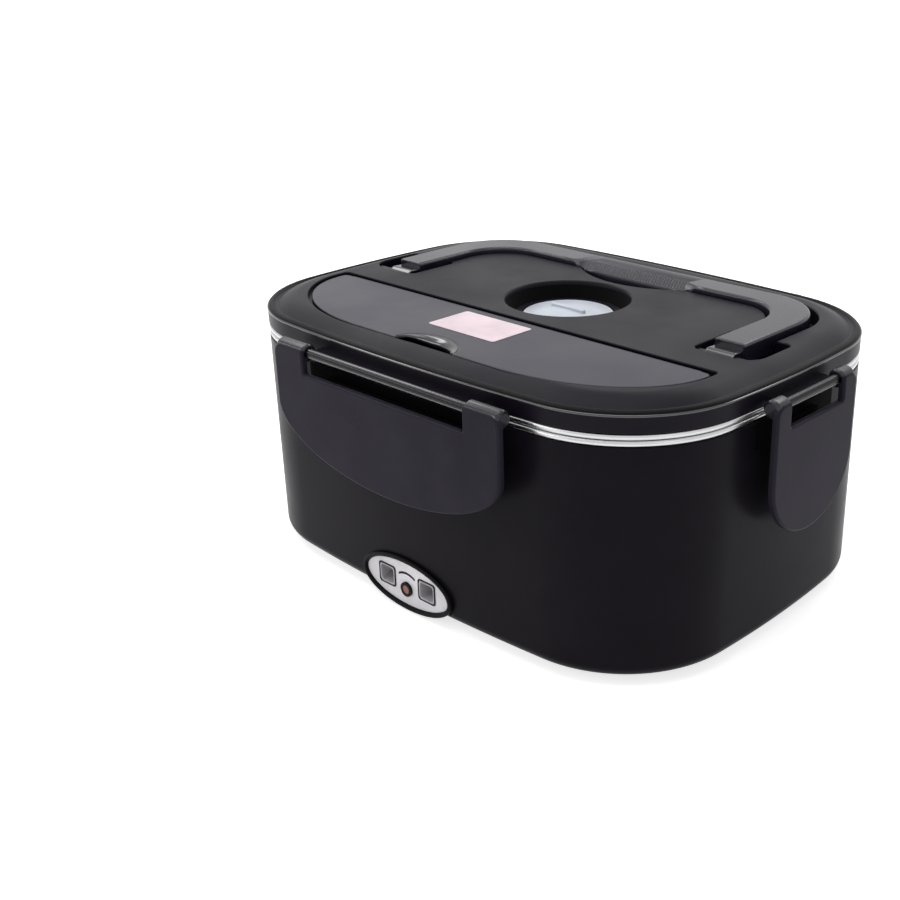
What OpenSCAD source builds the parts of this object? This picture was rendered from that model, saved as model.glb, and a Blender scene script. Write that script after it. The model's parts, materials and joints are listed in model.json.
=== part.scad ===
// Heated lunch box: a closed tub with a steel food container, a lift-off lid with
// four side latches, a carrying handle, a cutlery compartment and a steam valve.
// X runs along the long side, the control panel faces -Y, Z is up, and the feet
// stand at Z = 0 with the origin in the middle of the footprint.

/* [Body] */
// Length of the body between the middles of its short sides
body_l = 228.6; // [216:0.2:260]
// Depth of the body between the middles of its long sides
body_w = 168.8; // [164:0.2:200]
// Height of the outer shell's wall
shell_h = 87.3; // [80:0.1:120]
// Radius of the slight bulge of the long sides
long_side_r = 900; // [700:10:1600]
// Radius of the slight bulge of the short sides
short_side_r = 500; // [400:10:900]
// Radius of the four upright corners
corner_r = 50; // [42:1:58]
// Radius of the body's lower edge
base_edge_r = 5; // [2:0.5:8]
// Wall thickness of the outer shell
shell_wall = 2.4; // [2:0.1:3.2]

/* [Base] */
// Height of the rubber feet
foot_h = 3; // [2.4:0.1:6]
// Radius of a rubber foot
foot_r = 7; // [4:0.5:10]
// Thickness of the bottom plate
plate_t = 2.5; // [2.2:0.1:4]
// Width of the ledge that the bottom plate is screwed to
ledge_w = 24; // [22:0.5:28]
// Distance of the screws from the body's outline
screw_in = 18; // [16.5:0.5:19]
// Radius of a screw's shank
screw_r = 1.2; // [0.8:0.1:1.4]

/* [Heating] */
// Distance from the inside of the shell to the inner tub
tub_gap = 3.6; // [2:0.1:5]
// Wall thickness of the inner tub
tub_wall = 1.8; // [1.2:0.1:2.4]
// Height of the tub's floor above the underside of the shell
tub_floor_h = 24; // [23:0.5:32]
// Thickness of the heating plate
heat_plate_t = 3; // [2:0.5:5]
// Distance of the heating plate's edge from the body's outline
heat_plate_in = 20; // [18:1:26]
// Length of a heating strip
heater_l = 90; // [60:5:110]
// Width of a heating strip
heater_w = 24; // [16:1:28]
// Thickness of a heating strip
heater_t = 3.5; // [2.5:0.5:4.5]

/* [Food container] */
// Gap between the container and the inner tub
container_gap = 0.6; // [0.4:0.1:1.2]
// Thickness of the container's sheet steel
sheet_t = 1; // [0.8:0.1:1.4]
// Radius of the rolled steel edges
roll_r = 1.1; // [0.9:0.1:1.3]
// Radius between the container's floor and its wall
container_floor_r = 9; // [6:0.5:11]

/* [Control panel] */
// Half width of the oval faceplate
panel_rx = 23; // [22.5:0.1:30]
// Half height of the oval faceplate
panel_rz = 9; // [9:0.1:9.3]
// Width of the frame round the faceplate
panel_frame_w = 2; // [1.6:0.1:2]
// Height of the faceplate's middle above the table
panel_z = 11.6; // [11.4:0.1:14]
// Distance of a power socket from the panel's middle
socket_x = 11.2; // [10.8:0.1:11.6]
// Width of a power socket
socket_w = 8.6; // [8:0.1:9]
// Height of a power socket
socket_h = 8; // [7.4:0.1:8.4]
// Radius of a contact pin in a power socket
contact_r = 0.6; // [0.4:0.1:0.8]
// Radius of the indicator lamp's lens
lamp_r = 2.9; // [2.2:0.1:3]

/* [Lid] */
// Height of the lid's upright edge
lid_edge_h = 5.7; // [5:0.1:6]
// Radius of the bead along the top of the lid's edge
lid_edge_r = 1.9; // [1.6:0.1:2.2]
// Rise of the lid's top above the bead
shoulder_h = 2.4; // [1.8:0.1:3]
// Width of the sloping shoulder inside the bead
shoulder_w = 9; // [7:0.5:9.4]
// Thickness of the lid's skirt
skirt_t = 2.2; // [1.8:0.1:2.3]
// Thickness of the lid's top
lid_top_t = 2.2; // [1.6:0.1:2.4]
// Thickness of the floor under the lid's recesses
recess_floor_t = 1.6; // [1.2:0.1:1.8]
// Thickness of the walls round the lid's recesses
recess_wall = 2; // [1.6:0.1:2.4]
// Thickness of the lid's seal
seal_t = 2; // [1.6:0.1:2.6]
// Depth by which the lid's liner enters the container
liner_drop = 1.2; // [0.8:0.1:3]

/* [Steam valve] */
// Radius of the valve's recess at the lid's top
vent_r = 26.7; // [24:0.1:27]
// Distance of the recess forward or back of the free area's middle
vent_shift = 1.8; // [1:0.1:2]
// Radius of the valve's disc
valve_r = 18.6; // [15:0.1:19]
// Thickness of the valve's disc
valve_t = 1.8; // [1.2:0.1:2.4]
// Radius of the valve's stem
valve_stem_r = 3.7; // [2.5:0.1:5]

/* [Cutlery compartment] */
// Distance from the cover's ends to the body's short sides
cover_side_in = 16.5; // [16:0.1:22]
// Distance from the cover's front edge to the body's long side
cover_front_in = 12.6; // [12.4:0.1:16]
// Depth of the cover from its straight hinge edge to its front edge
cover_d = 44.2; // [38:0.1:44.6]
// Thickness of the cover
cover_t = 2; // [1.6:0.1:2.4]
// Length of the curved ends of the cover's front edge
cover_end_l = 60; // [40:1:70]
// Width of the finger notch in the cover's front edge
notch_w = 30; // [22:0.5:40]
// Depth of the finger notch
notch_d = 10; // [6:0.5:12]
// Length of the spoon's bowl
spoon_bowl_l = 40; // [32:1:42]
// Width of the spoon's bowl
spoon_bowl_w = 27; // [20:1:28]
// Length of the spoon's handle
spoon_grip_l = 96; // [70:1:104]

/* [Handle] */
// Distance from the handle's arms to the body's short sides
handle_side_in = 22; // [21:0.1:24]
// Distance from the handle's grip to the body's back
handle_back_in = 22.4; // [20:0.1:23]
// Width of the handle's arms and grip
handle_w = 13.2; // [11:0.1:14]
// Thickness of the handle
handle_t = 8.4; // [7.4:0.1:10]
// Outer radius of the handle's corners
handle_corner_r = 27; // [20:0.5:30]
// Distance of the handle's pivots in front of the body's middle
handle_pivot_y = 5.2; // [4:0.1:6.5]
// Radius of the barrels at the ends of the handle's arms
handle_barrel_r = 3.1; // [2.7:0.1:3.2]
// Radius of the handle's pivot pins
handle_pin_r = 1.5; // [1:0.1:2]
// Half length of the finger scoop in front of the grip
scoop_half = 27.5; // [22:0.5:34]
// Depth of the finger scoop
scoop_d = 10; // [6:0.5:10.4]

/* [Latches] */
// Distance from the body to the latches' outer face
latch_out = 9; // [8.4:0.1:11]
// Thickness of a latch's plate
latch_t = 2.5; // [2:0.1:2.9]
// Half width of the front and back latches
long_latch_half = 60.4; // [56:0.1:66]
// Half width of the window in the front and back latches
long_window_half = 43.2; // [36:0.1:44]
// Length of the front and back latches below their hinge
long_latch_drop = 45.1; // [40:0.1:52]
// Half width of the side latches
short_latch_half = 25.5; // [25:0.1:30]
// Half width of the window in the side latches
short_window_half = 16.9; // [14:0.1:17.2]
// Length of the side latches below their hinge
short_latch_drop = 51; // [42:0.1:58]
// Height of the window between a latch's plate and its hinge rail
window_h = 5.4; // [4.6:0.1:5.8]
// Radius of the hinge rails on the lid
rail_r = 2.1; // [1.7:0.1:2.3]
// Radius of the knuckles at a latch's ends
knuckle_r = 3.5; // [3:0.1:3.6]
// Radius of the latches' hinge pins
latch_pin_r = 0.9; // [0.7:0.1:1.1]

/* [Fits] */
// Gap between moving moulded pieces
run_gap = 0.3; // [0.2:0.05:0.4]
// Gap round a pin in its bore
pin_gap = 0.05; // [0.02:0.01:0.08]
// Gap between fixed pieces that slide into each other
slip_gap = 0.2; // [0.1:0.05:0.3]

/* [Hidden] */

$fn = 64;

// Overshoot of a cut past the face that it opens
cut = 1;
// Steps along a rounded corner of a drawn outline
arc_steps = 8;
// Steps along the rounded edge of a swept profile
edge_steps = 5;

// Half sizes of the body's outline
half_l = body_l / 2;
half_w = body_w / 2;

// Centre of the corner arc that is tangent to a long and a short side
long_c = long_side_r - half_w;
short_c = short_side_r - half_l;
link = norm([long_c, short_c]);
reach_long = long_side_r - corner_r;
reach_short = short_side_r - corner_r;
along = (reach_long * reach_long - reach_short * reach_short + link * link) / (2 * link);
aside = sqrt(reach_long * reach_long - along * along);
corner_x = (aside * long_c - along * short_c) / link;
corner_y = (along * long_c + aside * short_c) / link - long_c;

// Half angles that the long and the short side arcs span
long_half_a = atan2(corner_x, corner_y + long_c);
short_half_a = atan2(corner_y, corner_x + short_c);

// Steps along a corner, a long side and a short side of the outline
corner_steps = 12;
long_steps = 6;
short_steps = 4;
// How far a swept edge reaches in, and where the flat middle begins
profile_in = 24;
core_in = 20;

// Levels, from the table up
shell_z = foot_h;
plate_top = shell_z + plate_t;
ledge_t = 2;
ledge_top = plate_top + ledge_t;
shell_top = shell_z + shell_h;
flange_t = tub_wall;
ring_h = 2 * roll_r;
ring_top = shell_top + ring_h;
tub_floor_z = shell_z + tub_floor_h;
heat_plate_z = tub_floor_z + tub_wall;
container_z = heat_plate_z + heat_plate_t;
roll_z = ring_top + 0.1 + roll_r;
container_top = roll_z + roll_r;
skirt_z = container_top + slip_gap;
lid_under = container_top + seal_t;
lid_edge_z = skirt_z + lid_edge_h;
shoulder_z = lid_edge_z + lid_edge_r;
lid_top = shoulder_z + shoulder_h;
recess_z = lid_under + recess_floor_t;
groove_z = lid_edge_z + 0.65 * lid_edge_r;
liner_z = container_top - liner_drop;

// Insets from the body's outline
plate_in = 12;
tub_in = shell_wall + tub_gap;
container_in = tub_in + tub_wall + container_gap;
liner_in = container_in + sheet_t + 1;
cavity_in = liner_in + 1.1;
flange_rest = shell_wall / 2;
groove_in = 2.2 * lid_edge_r;

// Positions of the screws and feet, in the first quadrant
screw_xy = [corner_x, corner_y] + (corner_r - screw_in) * [cos(45), sin(45)];
foot_xy = [corner_x, corner_y];
screw_head_r = 2.1 * screw_r;
screw_head_h = 1.2;
screw_l = plate_t + 5;
boss_r = screw_r + 2;

// Heating pieces under the plate
heater_y = 0.8 * heater_w;
clamp_t = 2;
clamp_l = heater_l + 24;
post_r = 3;
cutout_r = 6;
cutout_h = 3;

// Control panel
panel_front = half_w + 1.6;
panel_back = half_w - plate_in + 0.6;
face_t = 1.6;
face_back = half_w - 1.2;
face_rest = 1.8;
panel_back_t = 1.6;
socket_dz = 0.5;
socket_wall = 0.7;
socket_front = face_back + face_t + 0.2;
socket_depth = 9.1;
contact_l = 4.6;
contact_x = 1.7;
lamp_dz = -2.2;
lamp_flange = 0.5;
board_t = 1;

// Cutlery cover and its hinge
cover_half = half_l - cover_side_in;
cover_front_y = -(half_w - cover_front_in);
cover_back_y = cover_front_y + cover_d;
cover_back_r = 2;
cover_gap = 1.2;
// Straight part of the cover's ends, behind their curve
cover_side_h = 3;
cover_z = lid_top - cover_t;
cover_pivot_z = cover_z + 0.4;
cover_barrel_r = 1.3;
cover_pivot_y = cover_back_y;
cover_swing_r = lid_top - cover_pivot_z;
cover_wall_y = cover_pivot_y + cover_swing_r + 0.4;
cover_pin_r = 0.7;
cover_pin_out = 2.4;
cover_rest = 3;

// Handle, lying flat in its channel
handle_out_x = half_l - handle_side_in;
handle_mid_x = handle_out_x - handle_w / 2;
handle_out_y = half_w - handle_back_in;
handle_mid_y = handle_out_y - handle_w / 2;
handle_turn_r = handle_corner_r - handle_w / 2;
handle_z = recess_z + 0.6;
handle_axis_z = handle_z + handle_barrel_r - 0.2;
// The arms stop short of the barrels; a thinner web joins them
handle_step = 4;
handle_end_y = handle_step - handle_pivot_y;
web_w = handle_w - 1;
web_low = 0.3 - handle_barrel_r;
web_lap = 1;
channel_gap = 1;
pivot_room_in = 3.7;
pivot_room_out = 9.4;
pivot_room_front = 4.6;
pivot_room_back = 21.2;
pivot_room_r = 8;

// Finger scoop: a slice of a large circle in front of the grip
scoop_y = handle_out_y - handle_w - channel_gap;
scoop_r = (scoop_half * scoop_half + scoop_d * scoop_d) / (2 * scoop_d);

// Valve recess, midway between the cutlery cover and the finger scoop
vent_y = (cover_wall_y + scoop_y - scoop_d) / 2 + vent_shift;
vent_floor_r = vent_r - 4.2;
valve_hole_r = valve_r + 1;
valve_z = lid_under + slip_gap;

// Latches: hinge axis outside the lid's edge, catch on the shell below
latch_axis_out = latch_out - 3.8;
latch_axis_z = skirt_z + 1.1;
latch_back = latch_out - latch_axis_out - latch_t;
latch_up = knuckle_r - 1.6;
window_low = rail_r + window_h;
knuckle_end = 1;
latch_round = 4;
catch_out = 2.2;
catch_h = 2;
catch_top = shell_top - 3.6;
catch_short = 5;
shelf_t = 2;
shelf_in = 1.6;

// Points along an arc
function arc(centre, r, from, to, steps = arc_steps) =
    [for (i = [0:steps]) let (a = from + (to - from) * i / steps) centre + r * [cos(a), sin(a)]];

// Points that replace one corner of an outline by an arc of radius r
function turn(before, at, after, r) =
    let (
        u = (before - at) / norm(before - at),
        v = (after - at) / norm(after - at),
        half = acos(u * v) / 2,
        c = at + (u + v) / norm(u + v) * r / sin(half),
        p = at + u * r / tan(half) - c,
        q = at + v * r / tan(half) - c,
        from = atan2(p.y, p.x),
        sweep = (atan2(q.y, q.x) - from + 540) % 360 - 180
    )
    r == 0 ? [at] : arc(c, r, from, from + sweep);

// An outline with each corner rounded by its own radius
function rounded(points, radii) =
    let (n = len(points))
    [for (i = [0:n - 1]) each turn(points[(i + n - 1) % n], points[i], points[(i + 1) % n], radii[i])];

// A rectangle between two corners, with one radius all round
function soft_rect(low, high, r) =
    rounded([low, [high.x, low.y], high, [low.x, high.y]], [r, r, r, r]);

// Points of an ellipse
function ellipse(rx, ry, steps = 48) =
    [for (i = [0:steps - 1]) [rx * cos(360 * i / steps), ry * sin(360 * i / steps)]];

// Points of the body's outline, drawn in by inset. Eight arcs meet tangentially:
// four slightly bulged sides and four corners.
function outline(inset) = [
    for (q = [0:3])
        let (
            x = q == 0 || q == 3 ? 1 : -1,
            y = q < 2 ? 1 : -1,
            even = q % 2 == 0,
            from = 90 * q + (even ? short_half_a : long_half_a),
            to = 90 * (q + 1) - (even ? long_half_a : short_half_a),
            side_c = even ? [0, -y * long_c] : [-x * short_c, 0],
            side_r = even ? long_side_r : short_side_r,
            side_a = even ? long_half_a : short_half_a,
            side_steps = even ? long_steps : short_steps,
            side_to = to + 2 * side_a * (1 - 1 / side_steps)
        )
        each concat(
            arc([x * corner_x, y * corner_y], corner_r - inset, from, to, corner_steps),
            arc(side_c, side_r - inset, to + 2 * side_a / side_steps, side_to, side_steps - 2)
        )
];

// Sweeps a closed profile of [offset from the outline, height] round the body
module around(profile) {
    n = len(outline(0));
    m = len(profile);
    polyhedron(
        points = [for (p = profile) for (o = outline(-p.x)) [o.x, o.y, p.y]],
        faces = [
            for (j = [0:m - 1], i = [0:n - 1])
                let (i2 = (i + 1) % n, j2 = (j + 1) % m)
                [j2 * n + i, j2 * n + i2, j * n + i2, j * n + i]
        ]
    );
}

// A flat slab with the body's outline, drawn in by inset
module slab(inset, low, high) {
    translate([0, 0, low]) linear_extrude(high - low) polygon(outline(inset));
}

// A ring with the body's outline
module band(outer_in, inner_in, low, high) {
    translate([0, 0, low]) linear_extrude(high - low) difference() {
        polygon(outline(outer_in));
        polygon(outline(inner_in));
    }
}

// Repeats a child at the four corners of the plan
module at_corner(x, y, at) {
    translate([x * at.x, y * at.y, 0]) children();
}

// Turns a piece drawn for the front side so that it faces another side
module facing(turns, distance) {
    rotate([0, 0, 90 * turns]) translate([0, -distance, 0]) children();
}

// A shape drawn in X and Z, given depth from y = from back to y = to
module upright(from, to) {
    translate([0, to, 0]) rotate([90, 0, 0]) linear_extrude(to - from) children();
}

// Base

shell_profile = concat(
    [[-plate_in, shell_z]],
    arc([-base_edge_r, shell_z + base_edge_r], base_edge_r, 270, 360, edge_steps),
    [
        [0, shell_top],
        [-flange_rest, shell_top],
        [-flange_rest, shell_top - flange_t],
        [-shell_wall, shell_top - flange_t],
        [-shell_wall, ledge_top],
        [-ledge_w, ledge_top],
        [-ledge_w, plate_top],
        [-plate_in, plate_top]
    ]
);

// Ledge on the shell that a latch's hook snaps under
module catch(half) {
    translate([-half, -catch_out, catch_top - catch_h])
        cube([2 * half, catch_out + shell_wall - 0.4, catch_h]);
}

module outer_shell() {
    color("#262226") difference() {
        union() {
            around(shell_profile);
            for (x = [-1, 1], y = [-1, 1]) {
                at_corner(x, y, screw_xy) translate([0, 0, plate_top])
                    cylinder(r = boss_r, h = screw_l);
            }
            for (s = [0, 2]) {
                facing(s, half_w) catch(long_window_half - catch_short);
                facing(s + 1, half_l) catch(short_window_half - catch_short);
            }
        }
        for (x = [-1, 1], y = [-1, 1]) {
            at_corner(x, y, screw_xy) translate([0, 0, plate_top - cut])
                cylinder(r = screw_r + pin_gap, h = screw_l - plate_t + cut + 0.5);
        }
        translate([0, 0, panel_z]) upright(-panel_front - cut, -panel_back + slip_gap)
            polygon(ellipse(panel_rx + panel_frame_w + slip_gap, panel_rz + panel_frame_w + slip_gap));
    }
}

module inner_tub() {
    color("#3a3a3e") difference() {
        union() {
            band(tub_in, tub_in + tub_wall, tub_floor_z, shell_top);
            band(flange_rest + slip_gap, tub_in + tub_wall, shell_top - flange_t, shell_top);
            slab(tub_in, tub_floor_z, heat_plate_z);
        }
        translate([-clamp_l / 2 - 2, -heater_y - heater_w / 2 - 2, tub_floor_z - cut])
            cube([clamp_l + 4, 2 * heater_y + heater_w + 4, tub_wall + 2 * cut]);
    }
}

module rim_ring() {
    color("#c4c4c6") around(concat(
        arc([-roll_r, shell_top + roll_r], roll_r, -90, 90),
        [[-tub_in, ring_top], [-tub_in, shell_top]]
    ));
}

module base_plate() {
    color("#1f1d20") difference() {
        slab(plate_in + slip_gap, shell_z, plate_top);
        for (x = [-1, 1], y = [-1, 1]) {
            at_corner(x, y, screw_xy) translate([0, 0, shell_z - cut]) {
                cylinder(r = screw_r + pin_gap, h = plate_t + 2 * cut);
                cylinder(r = screw_head_r + slip_gap, h = screw_head_h + cut);
            }
        }
    }
}

module foot(x, y) {
    color("#151515") at_corner(x, y, foot_xy) rotate_extrude() polygon([
        [0, 0],
        [foot_r - 0.8, 0],
        [foot_r, 0.8],
        [foot_r, foot_h],
        [0, foot_h]
    ]);
}

module screw(x, y) {
    color("#8a8a8a") at_corner(x, y, screw_xy) difference() {
        union() {
            translate([0, 0, shell_z + 0.1]) cylinder(r = screw_head_r, h = screw_head_h - 0.1);
            translate([0, 0, shell_z + screw_head_h - 0.1]) cylinder(r = screw_r, h = screw_l - screw_head_h);
        }
        for (a = [0, 90]) {
            translate([0, 0, shell_z]) rotate([0, 0, a])
                cube([screw_head_r, 0.5, 1.2], center = true);
        }
    }
}

// Heating

module heating_plate() {
    color("#a9a9ac") slab(heat_plate_in, heat_plate_z, container_z);
}

module heating_strip(side) {
    color("#d9d2c2") translate([-heater_l / 2, side * heater_y - heater_w / 2, heat_plate_z - heater_t])
        cube([heater_l, heater_w, heater_t]);
}

module heater_clamp() {
    low = heat_plate_z - heater_t;
    color("#9a9a9e") difference() {
        union() {
            translate([-clamp_l / 2, -heater_y - 5, low - clamp_t])
                cube([clamp_l, 2 * heater_y + 10, clamp_t]);
            for (x = [-1, 1], y = [-1, 1]) {
                translate([x * (clamp_l / 2 - post_r - 1), y * heater_y, low - 0.5])
                    cylinder(r = post_r, h = heater_t + 0.5);
            }
        }
        translate([0, 0, low - clamp_t - cut]) cylinder(r = cutout_r + 1, h = clamp_t + 2 * cut);
    }
}

module thermal_cutout() {
    color("#c9c4b8") translate([0, 0, heat_plate_z - cutout_h]) {
        cylinder(r = min(cutout_r, heater_y - heater_w / 2 - 0.5), h = cutout_h);
    }
}

// Control panel

module panel_frame() {
    outer = ellipse(panel_rx + panel_frame_w, panel_rz + panel_frame_w);
    seat = ellipse(panel_rx + slip_gap, panel_rz + slip_gap);
    inside = ellipse(panel_rx - face_rest, panel_rz - face_rest + 0.2);
    color("#1c1a1d") translate([0, 0, panel_z]) difference() {
        upright(-panel_front, -panel_back) polygon(outer);
        upright(-panel_front - cut, -face_back) polygon(seat);
        upright(-face_back - cut, -panel_back - panel_back_t) polygon(inside);
    }
}

module socket_outline(grow) {
    w = socket_w / 2 + grow;
    h = socket_h / 2 + grow;
    polygon(soft_rect([-w, -h], [w, h], 2 + grow));
}

module panel_face() {
    color("#e6e4e8") translate([0, 0, panel_z]) difference() {
        upright(-face_back - face_t, -face_back) polygon(ellipse(panel_rx, panel_rz));
        for (s = [-1, 1]) {
            translate([s * socket_x, 0, socket_dz]) upright(-panel_front - cut, -face_back + cut)
                socket_outline(0.1);
        }
        translate([0, 0, lamp_dz]) upright(-panel_front - cut, -face_back + cut)
            circle(lamp_r + pin_gap);
    }
}

module socket(side) {
    color("#2b2a2d") translate([side * socket_x, 0, panel_z + socket_dz]) difference() {
        upright(-socket_front, -panel_back - panel_back_t) socket_outline(0);
        upright(-socket_front - cut, -socket_front + socket_depth) socket_outline(-socket_wall);
    }
}

module contacts(side) {
    root = socket_depth - socket_front;
    color("#c8b273") translate([side * socket_x, 0, panel_z + socket_dz]) {
        for (s = [-1, 1]) {
            translate([s * contact_x, 0, 0]) upright(root - contact_l, root) circle(contact_r, $fn = 24);
        }
    }
}

module lamp_lens() {
    color("#6b3f2a") translate([0, 0, panel_z + lamp_dz]) {
        upright(-face_back - face_t - 0.8, -face_back) circle(lamp_r);
        upright(-face_back, -face_back + 1) circle(lamp_r + lamp_flange);
    }
}

module lamp_led() {
    root = -panel_back - panel_back_t - board_t;
    color("#b5462c") translate([0, 0, panel_z + lamp_dz]) {
        upright(root - 3.6, root) circle(1.5, $fn = 32);
        upright(root - 0.8, root) circle(1.9, $fn = 32);
    }
}

module lamp_board() {
    root = -panel_back - panel_back_t;
    color("#2f5a3a") translate([0, 0, panel_z + lamp_dz]) upright(root - board_t, root)
        polygon(soft_rect([-5.5, -3], [5.5, 5], 0.5));
}

// Food container

module food_container() {
    out = container_in;
    in = container_in + sheet_t;
    floor_r = container_floor_r;
    floor_c = [-out - floor_r, container_z + floor_r];
    roll_from = 180 - asin((roll_r - sheet_t) / roll_r);
    color("#c9cacc") {
        around(concat(
            [[-profile_in, container_z]],
            arc(floor_c, floor_r, 270, 360, edge_steps),
            [[-out, container_top - sheet_t]],
            arc([-roll_r, roll_z], roll_r, roll_from, 450),
            [[-in, container_top]],
            arc(floor_c, floor_r - sheet_t, 360, 270, edge_steps),
            [[-profile_in, container_z + sheet_t]]
        ));
        slab(core_in, container_z, container_z + sheet_t);
    }
}

// Lid

lid_profile = concat(
    [[-skirt_t, skirt_z], [0, skirt_z]],
    arc([-lid_edge_r, lid_edge_z], lid_edge_r, 0, 150, edge_steps),
    [for (i = [0:3]) [-groove_in - shoulder_w * i / 3, groove_z + (lid_top - groove_z) * sin(30 * i)]],
    [
        [-profile_in, lid_top],
        [-profile_in, lid_under],
        [-skirt_t, lid_under]
    ]
);

// The cutlery compartment's seat for its cover, or the cover itself at grow = 0
module cover_outline(grow, back_y) {
    side = cover_half + grow;
    end_x = cover_half - cover_end_l;
    end_y = cover_back_y - cover_side_h;
    rx = cover_end_l + grow;
    ry = cover_d - cover_side_h + grow;
    polygon(concat(
        turn([side, end_y], [side, back_y], [-side, back_y], cover_back_r),
        turn([side, back_y], [-side, back_y], [-side, end_y], cover_back_r),
        [for (a = [180:5:270]) [-end_x + rx * cos(a), end_y + ry * sin(a)]],
        [for (a = [270:5:360]) [end_x + rx * cos(a), end_y + ry * sin(a)]]
    ));
}

module handle_outline(grow) {
    out_x = handle_out_x + grow;
    in_x = handle_out_x - handle_w - grow;
    out_y = handle_out_y + grow;
    in_y = handle_out_y - handle_w - grow;
    end_y = -handle_pivot_y;
    r = handle_corner_r + grow;
    in_r = handle_corner_r - handle_w - grow;
    polygon(rounded(
        [
            [out_x, end_y], [out_x, out_y], [-out_x, out_y], [-out_x, end_y],
            [-in_x, end_y], [-in_x, in_y], [in_x, in_y], [in_x, end_y]
        ],
        [0, r, r, 0, 0, in_r, in_r, 0]
    ));
}

// Room round the pivot end of one of the handle's arms
module pivot_room(side, grow) {
    in_x = handle_out_x - handle_w - pivot_room_in - grow;
    out_x = handle_out_x + pivot_room_out + grow;
    low_y = -handle_pivot_y - pivot_room_front - grow;
    high_y = -handle_pivot_y + pivot_room_back + grow;
    polygon([for (p = rounded(
        [[in_x, low_y], [out_x, low_y], [out_x, high_y], [in_x, high_y]],
        [3 + grow, pivot_room_r + grow, 3 + grow, 3 + grow]
    )) [side * p.x, p.y]]);
}

module scoop_outline(grow) {
    intersection() {
        translate([0, scoop_y + scoop_r - scoop_d]) circle(scoop_r + grow, $fn = 180);
        translate([-scoop_half - grow, scoop_y - scoop_d - grow])
            square([2 * (scoop_half + grow), scoop_d + 2 * grow + 1.5]);
    }
}

// Solid ground that the recesses are cut from: their floors and walls
module recess_walls() {
    w = recess_wall;
    top = lid_top - 1;
    translate([0, 0, lid_under]) linear_extrude(top - lid_under) {
        cover_outline(cover_gap + w, cover_wall_y + w);
        handle_outline(channel_gap + w);
        scoop_outline(w);
        translate([0, vent_y]) circle(vent_r + w);
        for (s = [-1, 1]) {
            pivot_room(s, w);
        }
    }
}

module recesses() {
    translate([0, 0, cover_z - slip_gap / 2]) linear_extrude(cover_t + cut)
        cover_outline(cover_gap, cover_wall_y);
    translate([0, 0, recess_z]) linear_extrude(lid_top - recess_z)
        cover_outline(-cover_rest, cover_wall_y);
    translate([0, 0, recess_z]) linear_extrude(lid_top - recess_z + cut)
        handle_outline(channel_gap);
    translate([0, 0, recess_z + 1]) linear_extrude(lid_top - recess_z + cut)
        scoop_outline(0);
    for (s = [-1, 1]) {
        translate([0, 0, recess_z]) linear_extrude(lid_top - recess_z + cut)
            pivot_room(s, 0);
    }
    translate([0, vent_y, recess_z]) cylinder(r1 = vent_floor_r, r2 = vent_r, h = lid_top - recess_z);
    translate([0, vent_y, lid_top - 0.01]) cylinder(r = vent_r, h = cut);
    translate([0, vent_y, lid_under - cut]) cylinder(r = valve_hole_r, h = recess_z - lid_under + 2 * cut);
}

// Shelf and rail on the lid's edge that one latch hangs from
module latch_rail(window_half) {
    half = window_half - run_gap - 0.1;
    translate([-half, -latch_axis_out, latch_axis_z - shelf_t / 2])
        cube([2 * half, latch_axis_out + shelf_in, shelf_t]);
    translate([-half, -latch_axis_out, latch_axis_z]) rotate([0, 90, 0])
        cylinder(r = rail_r, h = 2 * half, $fn = 48);
}

module latch_bore(half) {
    translate([-half, -latch_axis_out, latch_axis_z]) rotate([0, 90, 0])
        cylinder(r = latch_pin_r + 0.01, h = 2 * half, $fn = 32);
}

module lid_cover() {
    color("#2e2b31") difference() {
        union() {
            difference() {
                union() {
                    around(lid_profile);
                    slab(core_in, lid_under, lid_top);
                }
                slab(cavity_in, lid_under - cut, lid_top - lid_top_t);
            }
            recess_walls();
            for (s = [0, 2]) {
                facing(s, half_w) latch_rail(long_window_half);
                facing(s + 1, half_l) latch_rail(short_window_half);
            }
        }
        recesses();
        for (s = [0, 2]) {
            facing(s, half_w) latch_bore(long_window_half);
            facing(s + 1, half_l) latch_bore(short_window_half);
        }
        for (s = [-1, 1]) {
            translate([s * (handle_mid_x + (pivot_room_out - pivot_room_in) / 2), -handle_pivot_y, handle_axis_z])
                rotate([0, 90, 0]) cylinder(r = handle_pin_r + 0.01, h = handle_pin_l, center = true, $fn = 32);
        }
        translate([0, cover_pivot_y, cover_pivot_z]) rotate([0, 90, 0])
            cylinder(r = cover_pin_r + pin_gap, h = 2 * (cover_half + cover_pin_out + run_gap), center = true, $fn = 24);
    }
}

// Length of a handle pin, let 1 mm into the wall on each side
handle_pin_l = handle_w + pivot_room_in + pivot_room_out + 2;

module lid_liner() {
    color("#d8d8da") difference() {
        slab(liner_in, liner_z, lid_under);
        translate([0, vent_y, liner_z - cut]) cylinder(r = valve_stem_r + run_gap, h = lid_under - liner_z + 2 * cut);
        slab(liner_in + 6, liner_z - cut, lid_under - 2);
    }
}

module lid_seal() {
    color("#dcdcdc") band(skirt_t + slip_gap, liner_in - slip_gap, container_top, lid_under);
}

module steam_valve() {
    color("#e8ecf0") translate([0, vent_y, 0]) {
        difference() {
            translate([0, 0, valve_z]) rotate_extrude($fn = 96) polygon([
                [0, 0],
                [valve_r, 0],
                [valve_r, valve_t - 0.5],
                [valve_r - 0.5, valve_t],
                [0, valve_t]
            ]);
            translate([0, 0, valve_z + valve_t - 0.4]) difference() {
                cylinder(r = valve_r - 2.4, h = 1);
                translate([0, 0, -cut]) cylinder(r = valve_r - 3.6, h = 3);
            }
        }
        translate([-0.6 * valve_r, -1.6, valve_z + valve_t - 0.5]) cube([1.2 * valve_r, 3.2, 3.2]);
        translate([0, 0, liner_z - 2]) cylinder(r = valve_stem_r, h = valve_z - liner_z + 2.5);
    }
}

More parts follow.
